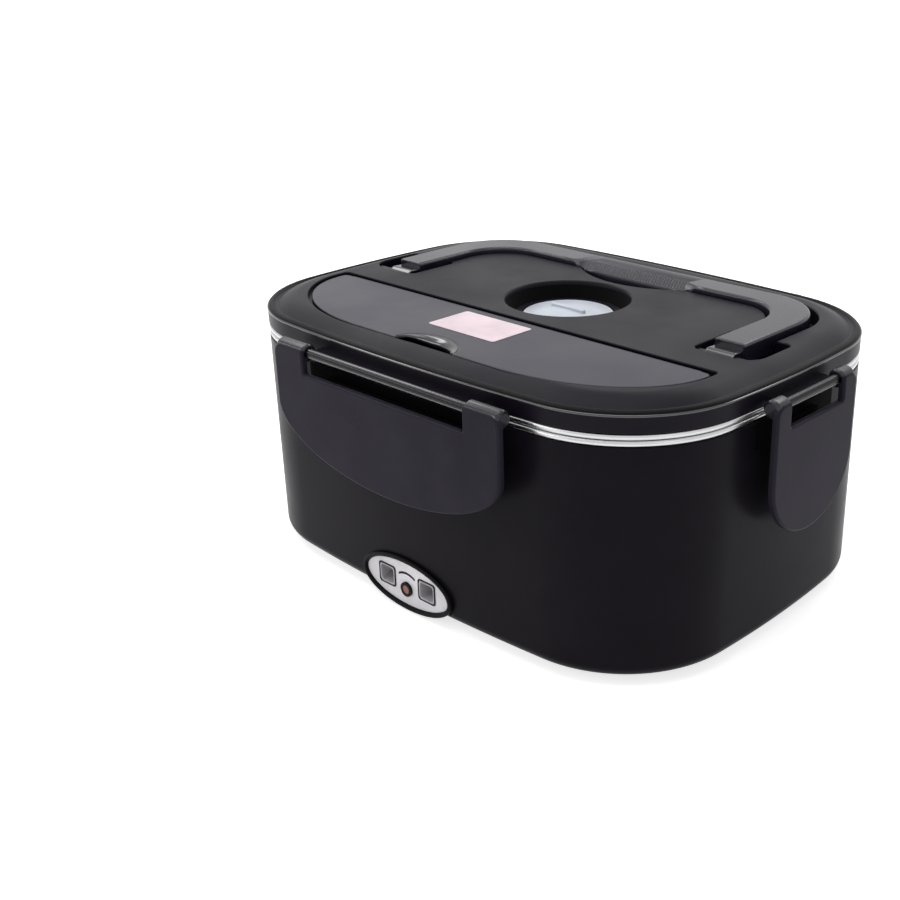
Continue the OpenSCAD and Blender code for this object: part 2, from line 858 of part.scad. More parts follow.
module latch_pin(latch_half) {
    half = latch_half - knuckle_end - 0.6;
    color("#8f8f92") translate([-half, -latch_axis_out, latch_axis_z]) rotate([0, 90, 0])
        cylinder(r = latch_pin_r, h = 2 * half, $fn = 32);
}

module handle_pin(side) {
    color("#9c9ca0")
        translate([side * (handle_mid_x + (pivot_room_out - pivot_room_in) / 2), -handle_pivot_y, handle_axis_z])
            rotate([0, 90, 0]) cylinder(r = handle_pin_r, h = handle_pin_l - 0.1, center = true, $fn = 32);
}

// Spoon in its compartment: a dish cut from a spherical shell, and a flat grip
module spoon() {
    dish_r = 60;
    thick = 0.8;
    bowl_x = -(spoon_grip_l / 2) - 4;
    grip_z = 2.6;
    y = (cover_back_y + cover_front_y) / 2;
    color("#c8c8ca") translate([0, y, recess_z + 0.02]) {
        intersection() {
            translate([bowl_x, 0, dish_r]) difference() {
                sphere(dish_r, $fn = 200);
                sphere(dish_r - thick, $fn = 200);
            }
            translate([bowl_x, 0, 0]) linear_extrude(12)
                polygon(ellipse(spoon_bowl_l / 2, spoon_bowl_w / 2, 40));
        }
        translate([0, 0, grip_z]) linear_extrude(1) polygon(rounded(
            [
                [bowl_x + 0.44 * spoon_bowl_l, -4.5], [bowl_x + 0.44 * spoon_bowl_l, 4.5],
                [bowl_x + 0.8 * spoon_bowl_l, 3], [bowl_x + spoon_bowl_l / 2 + spoon_grip_l, 6.5],
                [bowl_x + spoon_bowl_l / 2 + spoon_grip_l, -6.5], [bowl_x + 0.8 * spoon_bowl_l, -3]
            ],
            [0, 0, 10, 5, 5, 10]
        ));
    }
}

// Moving pieces of the lid

module cutlery_cover() {
    barrel = 2 * (cover_half - cover_back_r - cover_rest);
    color("#38363d") difference() {
        union() {
            translate([0, 0, cover_z]) linear_extrude(cover_t) cover_outline(0, cover_pivot_y);
            translate([0, cover_pivot_y, cover_pivot_z]) rotate([0, 90, 0]) {
                cylinder(r = cover_barrel_r, h = barrel, center = true, $fn = 32);
                cylinder(r = cover_pin_r, h = 2 * (cover_half + cover_pin_out), center = true, $fn = 24);
            }
        }
        translate([0, cover_front_y, cover_z - cut]) linear_extrude(cover_t + 2 * cut)
            polygon(ellipse(notch_w / 2, notch_d));
    }
}

// Cross-section of the handle: crowned above, softened below
module handle_section() {
    w = handle_w / 2;
    polygon(rounded(
        [[-w, 0], [w, 0], [w, handle_t], [-w, handle_t]],
        [1.5, 1.5, 0.28 * handle_t, 0.28 * handle_t]
    ));
}

module handle() {
    turn_x = handle_mid_x - handle_turn_r;
    turn_y = handle_mid_y - handle_turn_r;
    color("#46464f") difference() {
        translate([0, 0, handle_z]) {
            for (s = [-1, 1]) {
                translate([s * handle_mid_x, turn_y, 0]) rotate([90, 0, 0])
                    linear_extrude(turn_y - handle_end_y) handle_section();
                translate([s * handle_mid_x, -handle_pivot_y, handle_axis_z - handle_z]) {
                    rotate([0, 90, 0]) cylinder(r = handle_barrel_r, h = web_w, center = true, $fn = 48);
                    translate([-web_w / 2, 0, web_low]) cube([web_w, handle_step + web_lap, -2 * web_low]);
                }
                translate([s * turn_x, turn_y, 0])
                    rotate_extrude(angle = 90, start = s > 0 ? 0 : 90, $fn = 96)
                        translate([handle_turn_r, 0]) handle_section();
            }
            translate([-turn_x, handle_mid_y, 0]) rotate([90, 0, 90])
                linear_extrude(2 * turn_x) handle_section();
        }
        for (s = [-1, 1]) {
            translate([s * handle_mid_x, -handle_pivot_y, handle_axis_z]) rotate([0, 90, 0])
                cylinder(r = handle_pin_r + pin_gap, h = handle_w + cut, center = true, $fn = 32);
        }
    }
}

// Outline of a latch's plate: straight sides that run into half an ellipse
module latch_outline(half, drop) {
    sweep_h = min(0.93 * half, 0.53 * drop);
    low = sweep_h - drop;
    polygon(concat(
        rounded(
            [[half, low], [half, latch_up], [-half, latch_up], [-half, low]],
            [0, latch_round, latch_round, 0]
        ),
        [for (a = [186:6:354]) [half * cos(a), low + sweep_h * sin(a)]]
    ));
}

// One latch, drawn for the front with its hinge along X
module latch(half, drop, window_half) {
    face = latch_out - latch_axis_out;
    hook_z = catch_top - catch_h - run_gap - latch_axis_z;
    hook_y = latch_axis_out - catch_out - run_gap;
    hook_half = window_half - catch_short;
    color("#3c3a42") translate([0, -latch_axis_out, latch_axis_z]) difference() {
        union() {
            difference() {
                upright(-face, -latch_back) latch_outline(half, drop);
                translate([-window_half, -face - cut, -window_low])
                    cube([2 * window_half, face + cut, window_low + latch_up + cut]);
            }
            for (s = [-1, 1]) {
                translate([s * (window_half + half - knuckle_end) / 2, 0, 0]) rotate([0, 90, 0])
                    cylinder(r = knuckle_r, h = half - knuckle_end - window_half, center = true, $fn = 48);
            }
            translate([-hook_half, 0, 0]) rotate([90, 0, 90]) linear_extrude(2 * hook_half) polygon([
                [-latch_back - 0.4, hook_z],
                [hook_y, hook_z],
                [hook_y, hook_z - 1],
                [-latch_back - 0.4, hook_z - 3.4]
            ]);
        }
        rotate([0, 90, 0]) cylinder(r = latch_pin_r + pin_gap, h = 2 * half + cut, center = true, $fn = 32);
    }
}

outer_shell();
inner_tub();
rim_ring();
base_plate();
foot(-1, -1);  // foot_front_left
foot(1, -1);  // foot_front_right
foot(-1, 1);  // foot_back_left
foot(1, 1);  // foot_back_right
screw(-1, -1);  // screw_front_left
screw(1, -1);  // screw_front_right
screw(-1, 1);  // screw_back_left
screw(1, 1);  // screw_back_right
heating_plate();
heating_strip(-1);  // heating_strip_front
heating_strip(1);  // heating_strip_back
heater_clamp();
thermal_cutout();
panel_frame();
panel_face();
socket(-1);  // socket_left
socket(1);  // socket_right
contacts(-1);  // contacts_left
contacts(1);  // contacts_right
lamp_lens();
lamp_led();
lamp_board();
food_container();
lid_cover();
lid_liner();
lid_seal();
spoon();
handle_pin(-1);  // handle_pin_left
handle_pin(1);  // handle_pin_right
facing(0, half_w) latch_pin(long_latch_half);  // latch_pin_front
facing(2, half_w) latch_pin(long_latch_half);  // latch_pin_back
facing(3, half_l) latch_pin(short_latch_half);  // latch_pin_left
facing(1, half_l) latch_pin(short_latch_half);  // latch_pin_right
steam_valve();
cutlery_cover();
handle();
facing(0, half_w) latch(long_latch_half, long_latch_drop, long_window_half);  // latch_front
facing(2, half_w) latch(long_latch_half, long_latch_drop, long_window_half);  // latch_back
facing(3, half_l) latch(short_latch_half, short_latch_drop, short_window_half);  // latch_left
facing(1, half_l) latch(short_latch_half, short_latch_drop, short_window_half);  // latch_right
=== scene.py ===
# %% [markdown]
# # A heated lunch box, dressed for its portrait
#
# The object is a flat black tub with a steel food container inside. Its lid lifts off, and four
# latches hold it down. On the lid are a folding carrying handle, a cutlery compartment under a
# cover, and a bowl with a white steam valve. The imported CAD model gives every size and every
# moving body. This script gives the object its smooth moulded surfaces and its finishes.
#
# The frame comes first: each CAD node arrives as one object, already riding on its body.

# %% Load the frame
import bpy, json, math
import numpy as np
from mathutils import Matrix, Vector

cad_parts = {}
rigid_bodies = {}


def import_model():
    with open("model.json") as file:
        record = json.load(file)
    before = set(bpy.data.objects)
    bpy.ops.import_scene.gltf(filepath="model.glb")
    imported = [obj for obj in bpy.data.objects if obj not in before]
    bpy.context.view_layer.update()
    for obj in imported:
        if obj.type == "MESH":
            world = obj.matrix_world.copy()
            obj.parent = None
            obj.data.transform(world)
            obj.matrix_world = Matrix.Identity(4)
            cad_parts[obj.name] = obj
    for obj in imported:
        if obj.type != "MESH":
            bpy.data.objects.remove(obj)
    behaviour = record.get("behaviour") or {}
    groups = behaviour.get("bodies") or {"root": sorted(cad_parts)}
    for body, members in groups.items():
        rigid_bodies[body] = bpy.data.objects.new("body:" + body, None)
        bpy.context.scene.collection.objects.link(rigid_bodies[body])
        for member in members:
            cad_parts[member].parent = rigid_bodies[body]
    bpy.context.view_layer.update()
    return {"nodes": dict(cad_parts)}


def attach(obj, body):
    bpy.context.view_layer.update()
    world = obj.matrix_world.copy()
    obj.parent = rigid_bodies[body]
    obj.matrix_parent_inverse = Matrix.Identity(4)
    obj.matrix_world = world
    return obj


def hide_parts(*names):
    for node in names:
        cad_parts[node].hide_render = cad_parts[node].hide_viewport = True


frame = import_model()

nodes = frame["nodes"]

# %% [markdown]
# ## Sizes
#
# The real lunch box is drawn in millimetres, so the pieces are worked out in millimetres too and
# turned into metres when their mesh is made. The numbers repeat the named values of the CAD
# source. The alternative would be to measure the nodes' boxes, but a box can't tell a corner's
# radius or the height of a ledge.

# %% The sizes that the pieces share
HALF_L, HALF_W = 114.3, 84.4          # half the body's length and depth
LONG_R, SHORT_R, CORNER_R = 900.0, 500.0, 50.0
INSIDE = -24.0                        # how far inside the outline a profile's inner end lies
SHELL_Z, SHELL_TOP, RING_TOP = 3.0, 90.3, 92.5
CONTAINER_TOP, CONTAINER_Z, ROLL_R = 94.8, 31.8, 1.1
SKIRT_Z, LID_UNDER, LID_TOP = 95.0, 96.8, 105.0
EDGE_Z, EDGE_R, GROOVE_Z, RECESS_Z = 100.7, 1.9, 101.935, 98.4
AXIS_OUT, AXIS_Z, LATCH_OUT = 5.2, 96.1, 9.0
RAIL_R, KNUCKLE_R, LINE_AT = 2.1, 3.5, 1.65   # LINE_AT: how far polished lines lie from an axis
COVER_Z, COVER_BACK_Y, COVER_FRONT_Y = 103.0, -27.6, -71.8
COVER_HALF, COVER_END, COVER_SIDE_H, COVER_GAP = 97.8, 60.0, 3.0, 1.2
COVER_TOP, COVER_PLAY = 104.5, 0.4    # the cover lies a little low, with some play in its seat
SEAT_BACK_Y, NOTCH_RX, NOTCH_RY = -25.6, 15.0, 10.0
LABEL_X, LABEL_Y = (-17.8, 17.4), (-52.4, -31.5)
VALVE_Y, VALVE_Z, VALVE_R, VALVE_HOLE_R = 7.9, 97.0, 18.6, 19.6
BOWL_R, BOWL_TOP_R, DOME_R, DOME_H = 22.5, 26.7, 17.4, 1.7
HANDLE_W, HANDLE_T, HANDLE_Z = 13.2, 8.4, 99.0
HANDLE_OUT_X, HANDLE_OUT_Y, HANDLE_R, HANDLE_IN_R = 92.3, 62.0, 27.0, 20.5
HANDLE_IN_X, HANDLE_IN_Y = HANDLE_OUT_X - HANDLE_W, HANDLE_OUT_Y - HANDLE_W
PIVOT_Y, PIVOT_Z, BARREL_R, ARM_END_Y = -5.2, 101.9, 3.1, -1.2
PANEL_Z, PANEL_RX, PANEL_RZ, FACE = 11.6, 23.0, 9.0, 84.8   # FACE: the faceplate's front
PANEL_BACK = 72.6
SOCKET_X, SOCKET_Z, LAMP_Z = 11.2, 0.5, -2.2
LONG_LATCH, SHORT_LATCH = (60.4, 45.1, 43.2), (25.5, 51.0, 16.9)   # half width, drop, half window
# Each side has its quarter turns from the front, its distance from the middle, and its latch.
SIDES = {"front": (0, HALF_W, *LONG_LATCH), "right": (1, HALF_L, *SHORT_LATCH),
         "back": (2, HALF_W, *LONG_LATCH), "left": (3, HALF_L, *SHORT_LATCH)}
print("body", 2 * HALF_L, "x", 2 * HALF_W, "mm, lid top at", LID_TOP, "mm")

# %% [markdown]
# ## The body's outline
#
# Seen from above, the tub is a soft rectangle: four sides with a slight outward bulge and four
# corners of 50 mm radius. Polygons with rounded corners would leave a visible kink where a flat
# side meets a corner, so the outline is made of eight arcs that meet tangentially, as in the CAD.
# Each point also gets its outward direction. A wall, a bead or a rim is then a profile carried
# round this path, which keeps reflections flowing along the real curves.

# %% Outline of the body
def unit(a):
    """Directions (cos a, sin a) of angles in radians."""
    return np.stack([np.cos(a), np.sin(a)], -1)


def tangent_corner():
    """Centre of a corner arc that touches a long and a short side arc from inside, and the half
    angles that the side arcs span: two circles around the side arcs' centres are intersected."""
    long_c, short_c = LONG_R - HALF_W, SHORT_R - HALF_L
    link = math.hypot(long_c, short_c)
    along = ((LONG_R - CORNER_R) ** 2 - (SHORT_R - CORNER_R) ** 2 + link ** 2) / (2 * link)
    aside = math.sqrt((LONG_R - CORNER_R) ** 2 - along ** 2)
    x = (aside * long_c - along * short_c) / link
    y = (along * long_c + aside * short_c) / link - long_c
    return x, y, math.atan2(x, y + long_c), math.atan2(y, x + short_c), long_c, short_c


CORNER_X, CORNER_Y, LONG_A, SHORT_A, LONG_C, SHORT_C = tangent_corner()


def body_path(corner_steps=36, long_steps=56, short_steps=36):
    """Points and outward directions of the body's outline. On each of the eight arcs a point is
    the arc's centre plus its radius times the direction, and the direction is (cos a, sin a)."""
    points, outward = [], []
    for q in range(4):
        x, y, even = (1, -1, -1, 1)[q], (1, 1, -1, -1)[q], q % 2 == 0
        before, after = (SHORT_A, LONG_A) if even else (LONG_A, SHORT_A)
        side_c = (0, -y * LONG_C) if even else (-x * SHORT_C, 0)
        side_r, steps = (LONG_R, long_steps) if even else (SHORT_R, short_steps)
        start, end = math.pi / 2 * q + before, math.pi / 2 * (q + 1) - after
        for centre, r, a0, a1, count in (
                ((x * CORNER_X, y * CORNER_Y), CORNER_R, start, end, corner_steps),
                (side_c, side_r, end, end + 2 * after, steps)):
            outward.append(unit(np.linspace(a0, a1, count, endpoint=False)))
            points.append(np.array(centre) + r * outward[-1])
    return np.concatenate(points), np.concatenate(outward)


BODY_PATH = body_path()
print("outline of", len(BODY_PATH[0]), "points, corner at", round(CORNER_X, 2), round(CORNER_Y, 2))

# %% [markdown]
# ## Carrying a profile along a path
#
# Nearly every moulded piece here is one of two surfaces. A *band* is a closed profile carried
# round a closed path, like a rim. A *block* is a stack of outlines with the same number of
# points, closed by a flat face at each end, like a lid or a latch. Both are computed as whole
# arrays. If the signed volume comes out negative, all faces are turned, so that they point out.

# %% Bands, blocks and mesh objects
SHARP_ANGLE = math.radians(32)


def face_grid(rows, cols, wrap_rows):
    """Corner numbers of the quads between neighbouring rows and columns of a grid of points. The
    columns always close on themselves, and the rows only if wrap_rows is true."""
    at = np.arange(rows * cols).reshape(rows, cols)
    right, below = np.roll(at, -1, 1), np.roll(at, -1, 0)
    quads = np.stack([at, right, np.roll(right, -1, 0), below], -1)
    return quads[:None if wrap_rows else -1].reshape(-1, 4)


def signed_volume(points, quads):
    """Sum of the volumes between the origin and each quad's two triangles: a . (b x c) / 6."""
    a, b, c, d = (points[quads[:, k]] for k in range(4))
    return float((a * (np.cross(b, c) + np.cross(c, d))).sum() / 6)


def smooth(mesh):
    """Shades a mesh smooth, apart from its sharp edges."""
    mesh.polygons.foreach_set("use_smooth", np.ones(len(mesh.polygons), bool))
    mesh.set_sharp_from_angle(angle=SHARP_ANGLE)


def make_object(name, points, quads, caps=(), uv=None):
    """A mesh object from points in mm, quads and flat end faces, with outward faces."""
    fans = [np.stack([np.full(len(c) - 2, c[0]), c[1:-1], c[2:], c[2:]], 1) for c in caps]
    if signed_volume(points, np.concatenate([quads] + fans)) < 0:
        quads, caps = quads[:, ::-1], [c[::-1] for c in caps]
    mesh = bpy.data.meshes.new(name)
    mesh.from_pydata((points * 0.001).tolist(), [], quads.tolist() + [c.tolist() for c in caps])
    if uv is not None:
        layer = mesh.uv_layers.new(name="along")
        corner = np.zeros(len(mesh.loops), int)
        mesh.loops.foreach_get("vertex_index", corner)
        layer.data.foreach_set("uv", uv[corner].astype(np.float32).ravel())
    smooth(mesh)
    obj = bpy.data.objects.new(name, mesh)
    bpy.context.scene.collection.objects.link(obj)
    return obj


def lead_flat_faces(obj):
    """Large faces decide the shading at their edges, so a flat face stays flat beside a round."""
    obj.modifiers.new("flat faces lead", "WEIGHTED_NORMAL").keep_sharp = True


def levels(plan, heights):
    """Rings in space: one flat outline at several heights, or one outline for each height."""
    plan = np.asarray(plan, float)
    plan = np.broadcast_to(plan, (len(heights),) + plan.shape[-2:])
    high = np.broadcast_to(np.reshape(heights, (-1, 1, 1)), plan.shape[:2] + (1,))
    return np.concatenate([plan, high], 2)


def carry(profile, path=BODY_PATH):
    """Rings of an (outset, height) profile along a path: the point of profile step j and path
    step i is path(i) + outset(j) times outward(i), at height(j)."""
    profile = np.asarray(profile, float)
    return levels(path[0] + profile[:, :1, None] * path[1], profile[:, 1])


def band(name, profile, path=BODY_PATH, place=None):
    """A closed profile carried round a closed path, and then moved by place if that is given.
    Its UV map holds the way run along the path and the way across the profile, in metres."""
    rings = carry(profile, path)
    run, across = (np.r_[0, np.cumsum(np.linalg.norm(np.diff(line, axis=0), axis=1))]
                   for line in (path[0], np.asarray(profile, float)))
    uv = np.stack(np.meshgrid(run, across), 2).reshape(-1, 2) * 0.001
    points = (place(rings) if place else rings).reshape(-1, 3)
    return make_object(name, points, face_grid(*rings.shape[:2], True), uv=uv)


def block(name, rings):
    """A stack of rings, an array of (ring, point, 3), closed by a flat face at either end."""
    count, cols = rings.shape[:2]
    first = np.arange(cols)[::-1]
    last = np.arange(cols) + (count - 1) * cols
    obj = make_object(name, rings.reshape(-1, 3), face_grid(count, cols, False), [first, last])
    lead_flat_faces(obj)
    return obj


print("helpers ready: band and block")

# %% [markdown]
# ## Outlines with rounded corners
#
# Recesses, the cover and the latches are drawn as polygons whose corners are replaced by arcs.
# Drawing the same outline again with another offset gives a ring that is parallel to the first
# one and has the same number of points, and a stack of such rings has softly rounded edges. A
# bevel modifier could do it too, but it stumbles over the narrow strips that a cut leaves.

# %% Rounded polygons and soft-edged slabs
CUT_PAST = 1.5                        # how far a cutter stands out of the top that it cuts


def rounded(points, radii, steps=10):
    """Each corner of a polygon is replaced by an arc that touches both of its sides: its centre
    lies on the corner's bisector at radius / sin(half the corner's angle)."""
    points = np.asarray(points, float)
    parts = []
    for before, at, after, r in zip(np.roll(points, 1, 0), points, np.roll(points, -1, 0), radii):
        u, v = before - at, after - at
        u, v = u / np.linalg.norm(u), v / np.linalg.norm(v)
        half = math.acos(np.clip(u @ v, -1, 1)) / 2
        centre = at + (u + v) / np.linalg.norm(u + v) * r / math.sin(half)
        p, q = at + u * r / math.tan(half) - centre, at + v * r / math.tan(half) - centre
        start = math.atan2(p[1], p[0])
        sweep = (math.atan2(q[1], q[0]) - start + 3 * math.pi) % (2 * math.pi) - math.pi
        a = start + sweep * np.linspace(0, 1, steps)
        parts.append(centre + r * unit(a))
    return np.concatenate(parts)


def arc(centre, r, start, end, steps=8):
    """Points on an arc: the centre plus r times (cos a, sin a), with a in degrees."""
    return np.asarray(centre) + r * unit(np.radians(np.linspace(start, end, steps)))


def circle(steps=128):
    """Points of a circle of radius 1. They are also its outward directions."""
    return unit(np.linspace(0, 2 * np.pi, steps, endpoint=False))


def round_edge(steps):
    """A quarter round of radius 1: how far it lies inside the wall, 1 - cos a, and how far below
    the top, 1 - sin a."""
    return tuple(1 - unit(np.linspace(0, np.pi / 2, steps)).T)


def soft_slab(outline, low, high, low_r, high_r, steps=6):
    """Rings of a slab whose lower and upper edges are quarter rounds of radius low_r and high_r.
    outline(d) gives the outline drawn out by d."""
    inward, below = round_edge(steps)
    inset = np.r_[low_r * inward[::-1], high_r * inward]
    height = np.r_[low + low_r * below[::-1], high - high_r * below]
    return levels([outline(-d) for d in inset], height)


def pocket(outline, low, high, lip_r, floor_r=0.6, steps=7):
    """Rings of a cutter that sinks a recess: floor round, wall, and a flared lip above the top.
    The lip is a quarter round that opens outwards, so the cut edge is a soft round."""
    inward, below = round_edge(steps)
    outset = np.r_[-floor_r * inward[::-1], lip_r * inward, lip_r]
    height = np.r_[low + floor_r * below[::-1], high - lip_r * below, high + CUT_PAST]
    return levels([outline(d) for d in outset], height)


def lathe(profile, centre, steps=128):
    """Rings of a (radius, height) profile turned about an upright axis: the point at angle a is
    centre + r (cos a, sin a), at the profile's height."""
    r, z = np.asarray(profile, float).T
    return levels(centre + r[:, None, None] * circle(steps), z)


def cut_out(target, cutters):
    """Subtracts closed cutter objects from a piece with exact Boolean modifiers, and bakes it."""
    target.modifiers.clear()
    for cutter in cutters:
        step = target.modifiers.new("cut", "BOOLEAN")
        step.operation, step.solver, step.object = "DIFFERENCE", "EXACT", cutter
    bpy.context.view_layer.update()
    evaluated = target.evaluated_get(bpy.context.evaluated_depsgraph_get())
    done = bpy.data.meshes.new_from_object(evaluated)
    target.modifiers.clear()
    target.data = done
    for cutter in cutters:
        bpy.data.objects.remove(cutter)
    smooth(done)
    lead_flat_faces(target)


print("helpers ready: soft slabs, pockets, lathe and cuts")

# %% [markdown]
# ## Finishes
#
# The plastics are satin black with a very fine spark-eroded grain that breaks up reflections. In
# the shader that is a tiny bump from a noise of under a millimetre, a slow change of roughness
# where hands have polished the surface, and a faint mottling of the colour. An image texture
# could carry the same grain, but a noise needs no unwrapping and has no seams. The patterns read
# Object coordinates, because every piece keeps its place in its mesh. Only the brushing of the
# rims reads their own UV map, so that it runs along them.

# %% Helper nodes for the finishes
MIDDLE = (0.3, 0.7)                   # nearly all of a noise's values lie in this range
finishes = {}


def new_material(name):
    """Tree and shader of an empty material with one Principled shader."""
    finishes[name] = bpy.data.materials.new(name)
    finishes[name].use_nodes = True
    tree = finishes[name].node_tree
    return tree, tree.nodes["Principled BSDF"]


def set_inputs(node, values):
    """Sets input values of a shader node."""
    for key, value in values.items():
        node.inputs[key].default_value = value


def add_node(tree, kind, values=(), links=()):
    """A new shader node with given input values and links to its inputs."""
    node = tree.nodes.new("ShaderNode" + kind)
    set_inputs(node, dict(values))
    for key, source in dict(links).items():
        tree.links.new(source, node.inputs[key])
    return node


def add_noise(tree, scale, detail, stretch=None, source="Object"):
    """A noise texture on Object or UV coordinates, stretched by a Mapping node if asked."""
    where = add_node(tree, "TexCoord").outputs[source]
    if stretch:
        where = add_node(tree, "Mapping", {"Scale": stretch}, {"Vector": where}).outputs["Vector"]
    noise = add_node(tree, "TexNoise", {"Scale": scale, "Detail": detail}, {"Vector": where})
    return noise.outputs["Fac"]


def ramp_to(tree, value, low, high, target):
    """Sends a noise value to a socket after stretching its middle range to low..high."""
    ends = {"From Min": MIDDLE[0], "From Max": MIDDLE[1], "To Min": low, "To Max": high}
    spread = add_node(tree, "MapRange", ends, {"Value": value})
    tree.links.new(spread.outputs["Result"], target)


def tint(tree, value, dark, light, target):
    """Blends two colours by a noise value."""
    ramp = add_node(tree, "ValToRGB", links={"Fac": value})
    for stop, place, colour in zip(ramp.color_ramp.elements, MIDDLE, (dark, light)):
        stop.position, stop.color = place, (*colour, 1)
    tree.links.new(ramp.outputs["Color"], target)


def add_bump(tree, value, height_mm, shader):
    """Raises the surface by a noise value times a height in mm."""
    raised = {"Strength": 1.0, "Distance": height_mm * 0.001}
    bump = add_node(tree, "Bump", raised, {"Height": value})
    tree.links.new(bump.outputs["Normal"], shader.inputs["Normal"])


def srgb(r, g, b):
    """Linear colour of an 8-bit screen colour: ((v + 0.055) / 1.055) ^ 2.4 above the toe."""
    v = np.array([r, g, b]) / 255
    return np.where(v <= 0.04045, v / 12.92, ((v + 0.055) / 1.055) ** 2.4).tolist()


def moulded(name, colour, rough, specular=0.5, grain_depth=0.006, grain_mm=0.45, spread=0.06):
    """Moulded plastic: mottled colour, hand-polished roughness and a fine eroded grain."""
    tree, shader = new_material(name)
    dark, light = ([c * part for c in srgb(*colour)] for part in (0.86, 1.14))
    tint(tree, add_noise(tree, 55, 3), dark, light, shader.inputs["Base Color"])
    worn = add_noise(tree, 28, 4)
    ramp_to(tree, worn, rough - spread, rough + spread, shader.inputs["Roughness"])
    add_bump(tree, add_noise(tree, 1000 / grain_mm, 2), grain_depth, shader)
    set_inputs(shader, {"Specular IOR Level": specular})


def brushed(name, colour, rough, stretch, source="Object", depth=0.0015):
    """Brushed metal: fine scratches along one direction, from a noise stretched the other way."""
    tree, shader = new_material(name)
    set_inputs(shader, {"Metallic": 1.0})
    lines = add_noise(tree, 1.0, 3, stretch, source)
    tint(tree, lines, [c * 0.93 for c in colour], colour, shader.inputs["Base Color"])
    worn = add_noise(tree, 1.0, 2, stretch, source)
    ramp_to(tree, worn, rough - 0.05, rough + 0.07, shader.inputs["Roughness"])
    add_bump(tree, lines, depth, shader)


print("finish helpers ready")

# %% The object's finishes
moulded("lid_black", (20, 17, 26), 0.40, 0.1)
moulded("edge_black", (18, 16, 24), 0.2, 0.2, 0.002, spread=0.03)
moulded("gloss_black", (30, 28, 36), 0.14, 0.9, 0.001, spread=0.02)
# Near black, as painted shade: latch ledges, strips behind the latch windows, latch hooks, the
# bowl's wall and the cover's sides.
moulded("painted_shade_black", (5, 5, 6), 0.7, 0.04, 0.002)
moulded("shell_black", (25, 22, 28), 0.34, 0.045)
moulded("latch_black", (47, 44, 54), 0.33, 0.04)
moulded("knuckle_black", (38, 36, 44), 0.22, 0.45, 0.002)
moulded("frame_black", (12, 11, 13), 0.45, 0.08)
moulded("handle_black", (31, 30, 43), 0.26, 0.54, 0.003)
moulded("cover_black", (38, 35, 50), 0.34, 0.3)
moulded("base_black", (28, 27, 30), 0.5)
moulded("tub_grey", (60, 60, 64), 0.5)
moulded("socket_grey", (196, 193, 200), 0.45)
moulded("foot_rubber", (24, 24, 24), 0.8, 0.2, 0.02, 0.8)
moulded("panel_white", (250, 248, 252), 0.3, grain_depth=0.003)
moulded("liner_white", (222, 222, 224), 0.45)
moulded("seal_white", (232, 232, 230), 0.65, grain_mm=0.7)
moulded("valve_white", (206, 212, 222), 0.38, grain_depth=0.002)
moulded("label_white", (238, 219, 225), 0.55, grain_depth=0.002, grain_mm=0.3)
moulded("cutout_white", (205, 200, 188), 0.6)
moulded("lamp_amber", (150, 84, 60), 0.2, grain_depth=0.001)
moulded("board_green", (38, 84, 52), 0.5)
brushed("steel", (0.60, 0.60, 0.61), 0.27, (24, 220, 1), "UV", 0.0001)
brushed("spoon_steel", (0.62, 0.62, 0.63), 0.2, (30, 900, 900))
brushed("heater_aluminium", (0.55, 0.55, 0.56), 0.34, (25, 900, 900))
brushed("screw_steel", (0.42, 0.42, 0.43), 0.32, (600, 600, 60))
brushed("contact_brass", (0.72, 0.52, 0.22), 0.28, (900, 60, 900))
print("finishes:", len(finishes))


def give_finish(obj, material):
    """Replaces an object's materials by one of the finishes."""
    obj.data.materials.clear()
    obj.data.materials.append(finishes[material])


def finish_piece(obj, body, material, slot_name, *replaced):
    """Gives a new piece its finish, the body it rides on and the CAD nodes it stands for."""
    give_finish(obj, material)
    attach(obj, body)
    if replaced:
        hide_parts(*replaced)
    return obj


def add_block(name, rings, body, material, slot_name, *replaced):
    """A block that is finished at once."""
    return finish_piece(block(name, rings), body, material, slot_name, *replaced)


# %% [markdown]
# ## The shell
#
# The outer shell is one deep moulded wall with a 5 mm round at its foot and a crisp top edge
# under the steel ring. The CAD wall is made of flat strips, whose reflections would show, so the
# same profile is carried round the smooth outline instead. The opening for the control panel is
# cut with an oval prism, and the four narrow ledges that the latches snap under are added, coloured
# near black as painted shade. Behind each latch's window a thin near-black strip of painted shade
# lies on the wall, where no light gets in.

# %% Shell wall, latch ledges and strips of painted shade
def turned_to(points, turns, distance):
    """Points drawn for the front side, moved out by distance and turned by quarter turns."""
    c, s = (1, 0, -1, 0)[turns], (0, 1, 0, -1)[turns]
    x, y = points[..., 0], points[..., 1] - distance
    return np.stack([x * c - y * s, x * s + y * c, points[..., 2]], -1)


def stood(points, x, z):
    """Points drawn flat, stood up so that their top faces -Y, and moved by x and z."""
    return np.stack([points[..., 0] + x, -points[..., 2], points[..., 1] + z], -1)


def bar_rings(profile, half, end_r=0.5, steps=5):
    """Rings of a bar along X: a (y, z) profile repeated from -half to half. Near the ends the
    profile shrinks towards its middle by end_r (1 - cos a) while x advances by end_r sin a."""
    profile = np.asarray(profile, float)
    middle = profile.mean(0)
    inward, below = round_edge(steps)
    shrink = 1 - end_r * inward / np.abs(profile - middle).max()
    x = half - end_r * below
    body = middle + (profile - middle) * np.r_[shrink[::-1], shrink][:, None, None]
    return np.roll(levels(body, np.r_[-x[::-1], x]), 1, -1)


